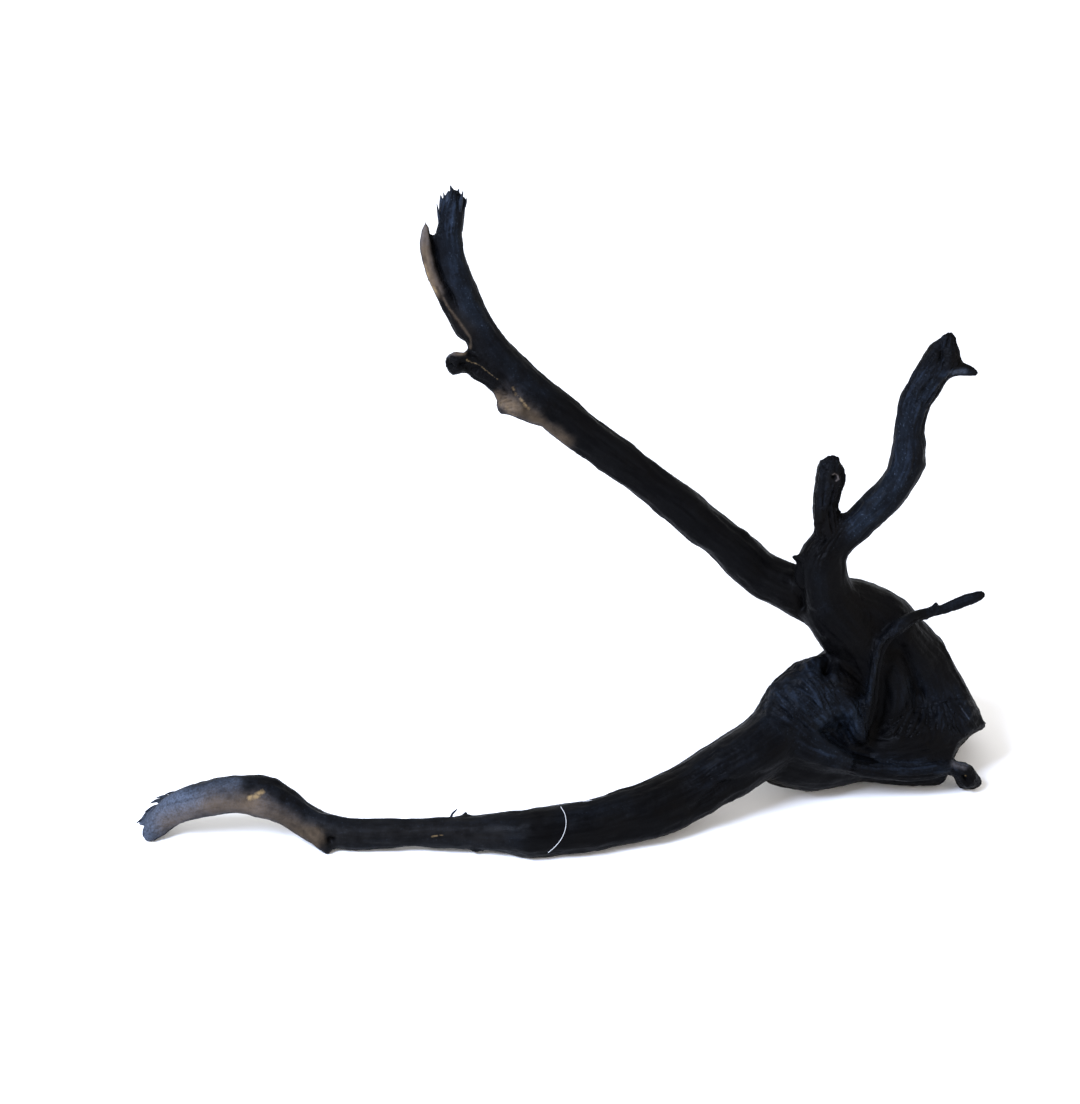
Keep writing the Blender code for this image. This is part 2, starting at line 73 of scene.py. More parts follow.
@dataclass(frozen=True)
class Sighting:
    """The one view that every station and touch is read in, with a ruler laid across it.

    Places are millimetres across and up from the middle of the view, in the plane through its middle.
    """

    down: float = math.radians(30)
    distance: float = 1877.0
    aim_height: float = 204.0
    footprint_middle: tuple[float, float] = (22.0, 2.8)

    @property
    def ahead(self) -> Array:
        """The way that the eye looks."""
        return np.array([0.0, math.cos(self.down), -math.sin(self.down)])

    @property
    def upward(self) -> Array:
        """Up in the view."""
        return np.array([0.0, math.sin(self.down), math.cos(self.down)])

    @property
    def middle(self) -> Array:
        """The point that the eye looks at, in mm."""
        return np.array([-self.footprint_middle[0], -self.footprint_middle[1], self.aim_height])

    @property
    def eye(self) -> Array:
        """Where the eye is, in mm."""
        return self.middle - self.ahead * self.distance

    def far(self, across: float, up: float) -> Array:
        """The point of the view's middle plane at (across, up)."""
        return self.middle + np.array([across, 0.0, 0.0]) + self.upward * up

    def at_back(self, across: float, up: float, back: float) -> tuple[Array, float]:
        """Where a sight line is this far back.

        Args:
            across: mm across the view.
            up: mm up the view.
            back: mm along +Y from the sighting's own zero.

        Returns:
            The point in mm, and how much further off than the middle plane it lies.
        """
        far = self.far(across, up)
        share = (back - self.footprint_middle[1] - self.eye[1]) / (far[1] - self.eye[1])
        return self.eye + share * (far - self.eye), share

    def at_height(self, across: float, up: float, height: float) -> tuple[Array, float]:
        """As at_back, where the sight line is this high above the floor."""
        far = self.far(across, up)
        share = (height - self.eye[2]) / (far[2] - self.eye[2])
        return self.eye + share * (far - self.eye), share

    def sighted(self, points: Array) -> tuple[Array, Array]:
        """Each point as (across, up), and how far it lies from the eye along the view."""
        away = (points - self.eye) @ self.ahead
        scale = self.distance / away
        across = (points[:, 0] - self.eye[0]) * scale
        return np.stack([across, ((points - self.eye) @ self.upward) * scale], axis=1), away


SIGHT = Sighting()


class Placing(Enum):
    """What the third number of a station says."""

    HEIGHT = "height of the limb's middle above the floor"
    BACK = "how far back the limb's middle is"


@dataclass(frozen=True)
class Limb:
    """One limb: stations of (across, up, height or back, radius) along it, in mm."""

    name: str
    node: str
    stations: Stations
    placing: Placing = Placing.BACK

    def rows(self) -> Array:
        """The stations as rows of x, y, z and true radius, in mm."""
        place = SIGHT.at_back if self.placing is Placing.BACK else SIGHT.at_height
        rows = []
        for across, up, along, radius in self.stations:
            point, share = place(across, up, along)
            rows.append([*point, radius * share])
        return np.array(rows)


LIMBS = [
    Limb(
        "lower_arm",
        "lower_arm",
        [
            (-280.5, -202.5, 6, 5.6), (-274, -195, 12, 8.6), (-265, -186.5, 19, 11),
            (-255, -182, 27, 11.8), (-243, -178.5, 33, 12.3), (-226, -175, 37, 12.8),
            (-209, -175, 37, 13.6), (-197, -177.5, 34, 14.2), (-185.5, -181.5, 28.5, 13.2),
            (-174, -189, 20.5, 11.8), (-162, -196.5, 15, 11.8), (-150, -200, 13, 11.8),
            (-134, -202, 12.5, 11.2), (-105, -202.5, 13, 10.5), (-82, -202, 13.5, 10.4),
            (-60, -202, 14, 11.8), (-40, -202, 14.5, 12.9), (-24, -201.7, 15.5, 15),
            (-10, -202.8, 16.2, 16.6), (10, -200.6, 17, 17), (33, -197.9, 18, 17.4),
            (56, -191.8, 19.2, 18.5), (79, -185, 21.7, 20.1), (102, -175, 26.2, 20.9),
            (125, -161.5, 35.3, 21.5), (148, -147.5, 46.3, 22.3), (163, -136.5, 53.5, 22.4),
            (176, -125, 60.5, 23),
        ],
        Placing.HEIGHT,
    ),
    Limb(
        "tip_layer",
        "lower_arm",
        [
            (-262, -184, 21, 9), (-273, -187.5, 15.5, 6.8), (-281, -191.5, 11, 5),
            (-286.5, -195, 8.5, 2.8),
        ],
        Placing.HEIGHT,
    ),
    Limb(
        "arch_knot",
        "lower_arm",
        [
            (-160, -202, 13, 9), (-154.5, -210, 7, 6.4), (-153, -213.5, 4, 4),
        ],
        Placing.HEIGHT,
    ),
    Limb(
        "arm_thorn",
        "lower_arm",
        [
            (-56, -196, 19, 4.5), (-53.5, -187.5, 25, 2),
        ],
        Placing.HEIGHT,
    ),
    Limb(
        "arm_spur",
        "lower_arm",
        [
            (-44, -210, 8, 6), (-47, -216, 3, 2.8),
        ],
        Placing.HEIGHT,
    ),
    Limb(
        "upper_arm",
        "upper_arm",
        [
            (206, -37, 33, 20), (189, -30, 38, 18.6), (173, -22.5, 41, 16.8), (158.5, -16, 44, 16),
            (145.5, -4, 47, 15.8), (131, 9.5, 49, 13.9), (115, 21, 52, 14.4), (101, 33, 55, 14.6),
            (86.5, 44.7, 58, 13.2), (72, 56.2, 61, 13), (57.5, 66.6, 64, 13.6), (29, 87, 70, 13.7),
            (14.4, 98.6, 73, 14.2), (0, 110.4, 76, 14.2), (-14.4, 123, 79, 14.5), (-28.8, 138, 82, 14),
            (-39, 151.5, 85, 13.2), (-48, 168.5, 88, 12.4), (-55.3, 186, 91, 11.3),
            (-61.2, 203, 94, 10.8), (-64.2, 220, 96, 10), (-64.7, 237, 98, 9.1), (-63.3, 248, 99, 8),
            (-62.3, 255, 100, 6.4),
        ],
    ),
    Limb(
        "sliver",
        "upper_arm",
        [
            (-54, 160, 85, 8), (-63, 172, 86, 6.2), (-71, 186, 87, 4.9), (-75.3, 194.5, 88, 4.9),
            (-78.9, 203, 89, 4.8), (-80.8, 212, 90, 4.8), (-82.4, 220.5, 91, 4.3),
            (-82.8, 229, 91, 3.5), (-82.6, 236, 92, 1.8),
        ],
    ),
    Limb(
        "arm_stub",
        "upper_arm",
        [
            (-38, 140, 80, 9.5), (-50, 137.5, 76, 7.2), (-57, 136.6, 73, 6.8), (-60.6, 136, 72, 7.4),
        ],
    ),
    Limb(
        "burr_ledge",
        "upper_arm",
        [
            (-46, 131.5, 75, 6.6), (-35, 127, 74, 8), (-25, 118, 72, 8),
        ],
    ),
    Limb(
        "burr",
        "upper_arm",
        [
            (0, 105, 72, 13.6), (-12, 106.3, 68, 11), (-19, 106.3, 66, 9), (-24.4, 105.5, 65, 6.8),
        ],
    ),
    # Short forms along edges, which give back what smoothing takes from them.
    Limb(
        "arm_edge",
        "upper_arm",
        [
            (-69, 237, 96, 4.6), (-68, 228, 95, 6.6), (-67, 212, 94, 7.8), (-63, 196, 92, 8.6),
            (-56, 180, 90, 8.6),
        ],
    ),
    Limb(
        "sliver_wide",
        "upper_arm",
        [
            (-82.6, 238, 93, 1.6), (-82.4, 232, 93, 3.4), (-81.4, 222, 92, 4.8), (-80, 212, 92, 5.6),
            (-76.6, 200, 91, 6.0), (-69.8, 186, 90, 6.6), (-61.5, 172, 89, 6.8),
        ],
    ),
    Limb(
        "spur_wide",
        "right_branch",
        [
            (289, 134, 40, 8), (299, 132.6, 38, 6.0), (307, 131, 37, 4.9), (312.6, 129.4, 36, 4.1),
        ],
    ),
    Limb(
        "arch_edge",
        "lower_arm",
        [
            (-208, -175, 36.5, 13.7), (-195, -177, 33.8, 14.9), (-189, -180.4, 30, 13.4),
        ],
        Placing.HEIGHT,
    ),
    Limb(
        "crown_edge",
        "stump",
        [
            (223.2, -40, 34, 22.5), (240.4, -49.6, 38, 25), (260.2, -75, 43, 30),
        ],
    ),
    Limb("burr_edge", "upper_arm", [(-20, 110, 68, 7), (-28.6, 112, 66, 4.2)]),
    Limb("knob_left", "side_root", [(301, -155.5, -10, 4.5), (303, -165, -8, 5)]),
    Limb("knob_right", "side_root", [(307, -157, -8, 5), (314, -166, -6, 4.5)]),
    Limb("knob_low", "side_root", [(304, -167, -7, 4), (311, -169.5, -6, 4)]),
    # The jagged ends of the broken upper arm.
    Limb("broken_end_0", "upper_arm", [(-62, 252, 99, 5), (-62.4, 261.5, 98, 1.8)]),
    Limb("broken_end_1", "upper_arm", [(-58, 248, 101, 4), (-53.5, 254, 102, 2)]),
    Limb("broken_end_2", "upper_arm", [(-66, 246, 98, 4), (-68.5, 253.5, 97, 2)]),
    Limb(
        "stem",
        "forked_stem",
        [
            (220, -46, 28, 22), (207, -30, 25, 18.5), (202.5, -13, 23, 17.6), (205.5, 0, 24, 15.6),
            (211, 8, 25, 13.6), (216, 15, 26, 12),
        ],
    ),
    Limb(
        "stem_flake",
        "stump",
        [
            (190, -7, 20, 6), (182.8, -3.8, 20, 2.2),
        ],
    ),
    Limb(
        "stub",
        "knobbed_stub",
        [
            (211, 8, 25, 12), (207, 22, 26, 9.6), (205.8, 34, 27, 8.8), (207, 43, 28, 9.8),
            (209, 54.5, 29, 10.8), (210, 61.5, 29, 8.6), (211, 65, 29, 4.8),
        ],
    ),
    Limb(
        "branch",
        "right_branch",
        [
            (214, 4, 25, 10.5), (225, 15, 26, 10.8), (237, 27.6, 27, 11.4), (247.5, 37, 29, 12),
            (261, 55.3, 31.5, 12.2), (264.8, 65, 33, 12.5), (266, 74, 34, 11.8), (266, 85, 35.5, 10.8),
            (267.8, 98, 37, 10.7), (270.6, 109, 38.5, 10.6), (276.3, 118.5, 40, 11.2),
            (283, 129, 41, 11.9), (289, 138.5, 42, 12.6), (292, 147.5, 43, 10), (294, 153.5, 43.5, 5.4),
        ],
    ),
    Limb(
        "branch_spur",
        "right_branch",
        [
            (287, 134, 40, 8), (299, 132.3, 38, 5.4), (308, 130.5, 37, 3.4), (314, 128, 36, 2.4),
        ],
    ),
    Limb(
        "burl",
        "stump",
        [
            (173, -125, -9, 21.5), (187, -110, -2, 24.6), (200, -101.5, 4, 25.5), (212, -104, 12, 25),
        ],
    ),
    Limb(
        "burl_foot",
        "stump",
        [
            (172, -142, -12, 24), (184, -144.5, -8, 25), (196, -145, -4, 25.6), (208, -143.5, 2, 25.2),
            (220, -141, 6, 25),
        ],
    ),
    Limb(
        "side_root_start",
        "stump",
        [
            (184, -136, -22, 15), (198, -143, -25, 12), (211, -149, -26, 8.6), (219, -151.5, -24, 7.4),
        ],
    ),
    Limb(
        "crown_left",
        "stump",
        [
            (208, -36, 27, 22), (219, -49, 29, 24), (232.5, -66, 30, 24.5), (243, -90, 30, 29),
            (236, -118, 27, 31), (224, -134, 22, 29),
        ],
    ),
    Limb(
        "crown_right",
        "stump",
        [
            (222, -42, 34, 22.5), (239, -52, 38, 25), (259, -77, 43, 30), (272, -97, 45, 35.5),
            (280, -116, 42, 37), (272, -130, 38, 35),
        ],
    ),
    Limb(
        "butt_front",
        "stump",
        [
            (232, -134, 16, 30), (252, -133, 18, 33), (270, -131, 22, 34), (285, -126, 28, 36),
        ],
    ),
    Limb(
        "butt_shelf",
        "stump",
        [
            (222, -151.5, 5, 13), (250, -153, 3, 13), (272, -155.5, 2, 12.5), (284, -157, 1, 11),
        ],
    ),
    Limb(
        "butt_back",
        "stump",
        [
            (206, -104, 46, 26), (226, -97, 58, 33), (246, -94, 63, 36), (266, -98, 62, 37),
            (284, -108, 58, 35),
        ],
    ),
    Limb(
        "nape",
        "stump",
        [
            (214, -42, 38, 18), (220, -50, 44, 22), (230, -62, 52, 28), (246, -80, 58, 33),
            (262, -96, 58, 36),
        ],
    ),
    Limb(
        "twig_lump",
        "stump",
        [
            (222, -112, -4, 8.5), (229, -122, -8, 8.6), (230, -130, -12, 7.6),
        ],
    ),
    Limb(
        "twig",
        "thin_twig",
        [
            (230, -133, -12.5, 7.2), (233.5, -122, -10, 6), (237, -111, -7.5, 5.4),
            (240, -99, -5.5, 4.8), (242, -83, -2, 4.3), (245.5, -68.5, 2.5, 4.3),
            (253.5, -58.5, 9, 4.1), (267, -48.5, 18, 3.9), (278, -44.7, 25, 3.7), (287, -42.5, 29, 3.4),
            (298, -38.7, 31, 3.4), (307, -34.7, 33, 3.8), (314.5, -32, 35, 3), (318, -30.8, 35.5, 3),
        ],
    ),
    Limb(
        "twig_thorn",
        "thin_twig",
        [
            (283, -42, 27, 3), (285.5, -37.2, 27, 1.8),
        ],
    ),
    Limb(
        "side_root",
        "side_root",
        [
            (219, -151.5, -24, 7.2), (229, -154, -21, 7), (250, -157, -19, 7), (274, -157.5, -17, 6.8),
            (290, -155.5, -14, 5.8), (297, -155, -12, 5.4), (302, -157.8, -10, 7),
            (307, -162.8, -8, 8.8),
        ],
    ),
]


@dataclass(frozen=True)
class Fork:
    """A place where the skin is parted: the limbs past it belong to one node."""

    node: str
    limbs: tuple[str, ...]
    place: tuple[float, float, float]
    way: tuple[float, float]

    def middle(self) -> Array:
        """The middle of the parting, in mm."""
        return SIGHT.at_back(*self.place)[0]

    def past(self, points: Array) -> Array:
        """How far each point lies past the parting's plane, in mm."""
        normal = self.way[0] * np.array([1.0, 0.0, 0.0]) + self.way[1] * SIGHT.upward
        return (points - self.middle()) @ (normal / np.linalg.norm(normal))


STUMP_ARM = ("lower_arm", "tip_layer", "arch_knot", "arm_thorn", "arm_spur", "arch_edge")
HIGH_ARM = ("upper_arm", "sliver", "arm_stub", "burr_ledge", "burr")
HIGH_ARM += ("broken_end_0", "broken_end_1", "broken_end_2", "arm_edge", "sliver_wide", "burr_edge")
FORKED = ("stem", "stub", "branch", "branch_spur", "spur_wide")
LOW_ROOT = ("side_root", "knob_left", "knob_right", "knob_low")
FORKS = [
    Fork("lower_arm", STUMP_ARM, (133, -156, -35), (-0.85, -0.53)),
    Fork("upper_arm", HIGH_ARM, (172, -21.5, 41), (-0.91, 0.42)),
    Fork("forked_stem", FORKED, (202.5, -9.5, 23.5), (0.36, 0.93)),
    Fork("knobbed_stub", ("stub",), (206.5, 31, 27), (-0.1, 0.99)),
    Fork("right_branch", ("branch", "branch_spur", "spur_wide"), (234.5, 24.5, 27), (0.66, 0.75)),
    Fork("thin_twig", ("twig", "twig_thorn"), (230, -133, -12.5), (0.3, 0.95)),
    Fork("side_root", LOW_ROOT, (221, -151.5, -24), (0.99, -0.1)),
]


class Touch(Enum):
    """What a touch does to the skin where its line runs."""

    RELIEF = "moves the skin out, in mm, with soft sides"
    CRACK = "moves the skin out, in mm, with a sharp middle"
    ROUGH = "adds to how strongly wrinkles and bark stand up there"
    DRY = "adds to how dry and bleached the wood is"
    TAN = "adds to how far it is worn down to tan wood"
    # The film is partly a dried film and partly a painted bluish sheen where light falls.
    FILM_AND_SHEEN = "adds to the thin blue-grey film that the wood dried with"
    # Brown is mostly the wood's own colour, but on the lower arm's underside and in a crease of the stump it
    # is painted warm bounce light and shade.
    WARM = "turns bleached wood and film from blue-grey to brown"
    BARK = "adds thick cracked bark, whose lumps run no one way"
    STREAK = "turns the grain along its line"


@dataclass(frozen=True)
class Mark:
    """One touch on the near side: a line across and up, how wide it is, and how much it does."""

    touch: Touch
    line: tuple[tuple[float, float], ...]
    wide: float
    amount: float = 1.0


# One letter for each touch, to keep the table below short.
R, C, B, D, T, S = Touch.RELIEF, Touch.CRACK, Touch.ROUGH, Touch.DRY, Touch.TAN, Touch.STREAK
F, W, K = Touch.FILM_AND_SHEEN, Touch.WARM, Touch.BARK
MARKS = [
    # Creases and ridges of the stump.
    Mark(R, ((207, -77), (206, -99), (213, -117), (220, -134), (238, -146)), 3.6, -2.4),
    Mark(R, ((175.7, -108.7), (187.9, -121.7), (206.6, -138.2), (219.6, -147.6)), 4.5, 1.8),
    Mark(R, ((176, -119), (190, -132), (204, -146)), 6, -1.8),
    Mark(R, ((254, -68), (248, -99), (243, -132)), 7, -5.5),
    Mark(R, ((263, -71), (268, -84), (274, -103)), 5, -4),
    Mark(C, ((264, -74), (269, -86), (275, -103)), 2.0, -2.0),
    Mark(R, ((208, -81),), 4.5, -9),
    Mark(R, ((224, -114),), 6, 3),
    Mark(R, ((238, -108), (234, -120), (230.5, -131)), 3.6, 1.8),
    Mark(R, ((222, -108), (225, -118), (228.5, -128)), 3.0, 1.8),
    Mark(C, ((231, -103), (229, -112)), 2.2, -1.4),
    Mark(C, ((209, -85), (214, -104), (222, -122), (231, -133)), 1.8, -1.6),
    Mark(R, ((185, -9), (186.5, -24), (188, -42)), 2.6, -3.5),
    Mark(C, ((184.6, -10), (187, -26), (187.5, -42)), 1.2, -2.5),
    Mark(R, ((196, -39), (199, -41)), 2.2, 0.9),
    Mark(R, ((207.5, -60.5),), 1.6, 1.0),
    Mark(R, ((265, -66),), 1.6, 1.0),
    Mark(R, ((256, -83), (253, -87)), 2.4, -1.2),
    # The belly of the lower arm: two ringed scars, a ledge below, a hollow knot at the arch.
    Mark(R, ((129.5, -143.5), (129.5, -153.5)), 6, 2.2),
    Mark(C, ((129.5, -143.5),), 2.0, -2.2),
    Mark(C, ((130, -153.5),), 2.2, -1.8),
    Mark(R, ((112, -187), (132, -170), (158, -161)), 4, -2.4),
    Mark(C, ((116, -182), (134, -167)), 1.8, -1.2),
    Mark(R, ((122, -163), (140, -170)), 5, -2.0),
    Mark(R, ((-151, -208),), 2.8, -4.5),
    Mark(R, ((-155, -203), (-149, -203)), 2.0, 1.2),
    Mark(R, ((-200, -172), (-209, -174)), 2.4, -0.7),
    # The sliver, the side stub, the burr and the ridge between them on the upper arm.
    Mark(R, ((-78.5, 231), (-76, 217), (-73.6, 205), (-70, 194), (-63, 182)), 1.5, -3.0),
    Mark(C, ((-78.5, 232), (-76, 217), (-73.6, 205), (-70, 194), (-60, 176)), 0.9, -2.0),
    Mark(R, ((-74, 190), (-69, 176), (-66, 168)), 1.6, -1.2),
    Mark(R, ((-70, 170), (-63, 158), (-56, 146)), 2.4, -1.2),
    Mark(R, ((-56, 141), (-46, 139), (-37, 131), (-23, 121), (-20, 114)), 2.0, 1.6),
    Mark(R, ((-56, 135), (-44, 131), (-30, 120)), 2.6, -1.5),
    Mark(R, ((-65.5, 134),), 3.4, -4.5),
    Mark(R, ((-59, 136), (-54, 134.5)), 1.6, -1.5),
    Mark(R, ((-13, 103),), 2.6, 1.4),
    Mark(C, ((-14, 108), (-9, 104)), 1.4, -0.6),
    Mark(R, ((148, 16),), 5, 1.8),
    Mark(C, ((108, 12), (112, 8)), 1.2, -0.6),
    # The stub's ring hole, its notches, and the flake and spur of the branch.
    Mark(R, ((212, 53.6),), 1.7, -4.5),
    Mark(R, ((212.5, 53.6),), 4.0, 1.6),
    Mark(C, ((216, 44), (212, 42)), 1.6, -1.8),
    Mark(C, ((214, 35.5), (210, 34)), 1.6, -1.5),
    Mark(R, ((205, 8), (203, 18), (208, 28)), 3.0, -1.6),
    Mark(R, ((277, 62),), 3.4, 1.4),
    Mark(R, ((234, 37.5),), 2.4, 1.2),
    Mark(R, ((290, 136), (288, 147)), 3.0, -2.5),
    Mark(R, ((271, 116), (280, 122), (286, 131)), 2.6, 1.2),
    # The hollow broken face of the side root's knob.
    Mark(R, ((307, -163),), 3.0, -4.0),
    Mark(C, ((298, -153), (299, -161)), 1.4, -1.6),
    # Where the skin is rough.
    Mark(B, ((180, -100), (200, -100), (215, -110), (205, -125)), 20, 1.1),
    Mark(B, ((262, -120), (285, -112), (300, -118)), 20, 0.9),
    Mark(B, ((225, -150), (290, -155)), 8, 0.5),
    Mark(B, ((207, 25), (208, 62)), 12, 1.2),
    Mark(B, ((275, 112), (292, 148)), 12, 1.0),
    Mark(B, ((-68, 235), (-62, 258)), 10, 1.0),
    Mark(B, ((118, -170), (140, -150)), 18, 0.5),
    Mark(B, ((200, 0), (210, 15)), 10, 0.5),
    Mark(B, ((-60, 138), (-15, 108)), 7, 0.5),
    # Which way the grain and the wrinkles run on the stump.
    Mark(S, ((161, -99), (173, -102), (187, -108)), 12),
    Mark(S, ((176, -110), (190, -124), (206, -139)), 12),
    Mark(S, ((192, -84), (203.8, -102.2), (213, -122)), 11),
    Mark(S, ((210.2, -83.5), (216, -95), (224, -113), (231, -131)), 9),
    Mark(S, ((219, -100), (232, -104)), 6),
    Mark(S, ((200.2, -144), (219.6, -149.8), (244.8, -154.1)), 7),
    Mark(S, ((274, -103), (268, -116), (262, -128)), 9),
    Mark(S, ((282, -100), (283, -116), (282, -132)), 9),
    Mark(S, ((292, -100), (298, -116), (304, -128)), 9),
    Mark(S, ((240, -60), (258, -85), (262, -100)), 12),
    # Where the blue-grey film lies: a dried film, which also serves as a painted bluish sheen on faces turned
    # to the light.
    Mark(F, ((163, -98), (182, -108), (204, -124)), 15, 0.65),
    Mark(F, ((192, -80), (205, -100), (216, -122)), 12, 0.65),
    Mark(F, ((160, -118), (185, -136), (210, -146)), 9, 0.2),
    Mark(F, ((206, -146), (240, -152), (272, -155), (300, -156)), 6, 0.5),
    Mark(F, ((226, -112), (230, -130)), 6, 0.7),
    Mark(F, ((236, -106), (241, -84), (247, -66), (262, -52)), 4, 0.5),
    Mark(F, ((282, -42), (314, -32)), 4, 0.5),
    Mark(F, ((270, -98), (290, -108), (300, -120)), 14, 0.32),
    Mark(F, ((228, 18), (245, 34), (258, 54), (264, 78), (266, 100), (278, 120)), 10, 1.0),
    Mark(F, ((284, 130), (292, 148)), 9, 0.4),
    Mark(F, ((288, 128), (312, 129)), 3, 0.6),
    # A painted highlight along the inner edge of the sawn face.
    Mark(F, ((299, -98), (310, -120)), 2.2, 0.45),
    Mark(F, ((204, -40), (200, -10)), 5, 0.25),
    Mark(F, ((205, 40), (208, 60)), 8, 0.4),
    Mark(F, ((120, -158), (150, -142)), 14, 0.2),
    Mark(F, ((-225, -170), (-180, -185), (-160, -195)), 12, 0.6),
    Mark(F, ((-64, 252), (-60, 200), (-48, 170)), 10, 1.0),
    Mark(F, ((-48, 168), (-30, 140), (0, 112)), 9, 0.4),
    Mark(F, ((20, -188), (60, -182)), 10, 0.2),
    Mark(F, ((-150, -206), (-110, -202), (-70, -202), (-30, -204)), 13, 0.8),
    Mark(W, ((-150, -206), (-110, -202), (-70, -202), (-30, -204)), 13, 0.75),
    # Thick bark.
    Mark(K, ((206, 26), (207, 40), (210, 62)), 12, 1.0),
    Mark(K, ((272, 114), (284, 130), (293, 152)), 11, 1.0),
    Mark(K, ((286, 133), (300, 132)), 6, 0.6),
    Mark(K, ((262, 66), (268, 90)), 10, 0.3),
    Mark(K, ((200, -6), (208, 12)), 12, 0.35),
    Mark(K, ((306, -162),), 8, 0.9),
    Mark(K, ((232, -125), (241, -88), (248, -64), (280, -44), (315, -32)), 5, 0.35),
    Mark(K, ((118, -178), (140, -152)), 14, 0.4),
    Mark(K, ((-64, 137), (-56, 136)), 8, 0.8),
    Mark(K, ((-24, 106),), 8, 0.5),
    # Bleached and dry wood.
    Mark(D, ((-290, -203), (-278, -196), (-264, -186)), 13, 1.0),
    Mark(D, ((-262, -180), (-240, -172), (-222, -167)), 9, 0.45),
    Mark(D, ((-258, -188), (-230, -184), (-205, -184)), 10, 0.75),
    Mark(D, ((-200, -182), (-180, -195), (-162, -206)), 8, 0.5),
    Mark(D, ((-82, 240), (-84, 222), (-81, 204), (-75, 188)), 5.0, 1.0),
    Mark(D, ((-70, 182), (-62, 170), (-55, 161), (-50, 154), (-50, 147)), 1.2, 0.4),
    Mark(D, ((-62, 144), (-55, 143)), 2.2, 0.6),
    Mark(D, ((-30, 110), (-22, 105)), 5.5, 0.85),
    Mark(D, ((-18, 102), (-6, 94), (14, 80)), 7, 0.4),
    Mark(D, ((-22, 120), (-10, 104), (4, 90), (20, 78)), 7, 0.2),
    Mark(D, ((299, -152), (305, -154)), 3, 0.8),
    Mark(D, ((210.4, 55.6), (212.4, 56.6), (214.4, 55.2), (214.8, 52.8), (213.2, 51.2)), 0.42, 0.75),
    Mark(D, ((-69, 140), (-64, 142.5), (-56, 142)), 1.3, 0.7),
    # A pale line painted along the inner edge of the sawn face: a painted highlight.
    Mark(D, ((302, -111), (306, -116), (309, -120.5)), 0.5, 0.4),
    Mark(D, ((296, 129), (306, 130)), 2.4, 0.4),
    # Brown instead of blue-grey. The first line, along the underside of the lower arm, is painted warm bounce
    # light.
    Mark(W, ((-268, -196), (-240, -187), (-215, -185), (-190, -196), (-165, -207)), 10, 0.62),
    Mark(W, ((-235, -178), (-212, -176)), 9, 0.4),
    Mark(W, ((-202, -176), (-180, -190), (-162, -202)), 10, 0.5),
    Mark(W, ((-83, 208), (-76, 188), (-66, 172), (-54, 156)), 9, 1.0),
    Mark(W, ((-82, 238), (-83, 220)), 7, 0.75),
    Mark(W, ((-60, 150), (-52, 140), (-30, 112), (-10, 100), (20, 80)), 12, 1.0),
    Mark(W, ((205, -2), (205, 12)), 14, 0.8),
    Mark(W, ((212, 54),), 6, 0.8),
    Mark(W, ((299, -152), (306, -156)), 5, 0.4),
    # A painted brown shade on the shaded panel beside the stump's crease.
    Mark(W, ((252, -70), (250, -90)), 10, 0.8),
    # Worn down to tan wood.
    Mark(T, ((-209, -177), (-204.5, -175.5), (-200, -172.5)), 2.3, 0.95),
    Mark(T, ((-84, 206), (-80, 196), (-75, 185)), 2.0, 0.6),
    Mark(T, ((-68, 178), (-62, 170), (-55, 161)), 1.0, 0.35),
    Mark(T, ((-53, 138), (-44, 135), (-30, 124)), 0.8, 0.42),
    Mark(T, ((-20, 118), (-12, 107), (-8, 103)), 1.8, 0.5),
    Mark(T, ((-28, 107), (-18, 98)), 3.6, 0.42),
    Mark(T, ((-78, -205.5), (-70, -204)), 0.8, 0.6),
    Mark(T, ((307.5, -162),), 1.1, 0.8),
    Mark(T, ((-240, -181), (-226, -179)), 3.0, 0.2),
]

# How strongly wrinkles and bark stand up on each limb; the rest have PLAIN_ROUGH.
PLAIN_ROUGH = 0.3
LIMB_ROUGH = {
    "lower_arm": 0.28,
    "upper_arm": 0.24,
    "stem": 0.35,
    "stub": 1.0,
    "branch": 0.55,
    "branch_spur": 0.3,
    "burl": 1.0,
    "burl_foot": 0.45,
    "side_root_start": 0.6,
    "butt_front": 0.75,
    "butt_shelf": 0.6,
    "twig": 0.6,
    "twig_lump": 0.9,
    "side_root": 0.6,
    "broken_end_0": 1.0,
    "broken_end_1": 1.0,
    "broken_end_2": 1.0,
}

# The skin's squares, and the sawn face and broken corner of the stump, all in mm.
VOXEL = 1.21
SAWN_EDGE = ((293.1, -71.5), (320.4, -123.4))
SAWN_BACK = 30.0
SAWN_TURN = math.radians(9)
SAWN_HALF = 52.0
BROKEN_CORNER = (331.5, -159.0, 20.0)
BROKEN_CORNER_RADIUS = 35.0
BLOCK_REACH = 150.0


def unit(rows: Array) -> Array:
    """Each row at length one, with rows of no length left as they are."""
    length = np.linalg.norm(rows, axis=-1, keepdims=True)
    return rows / np.where(length > 1e-9, length, 1.0)


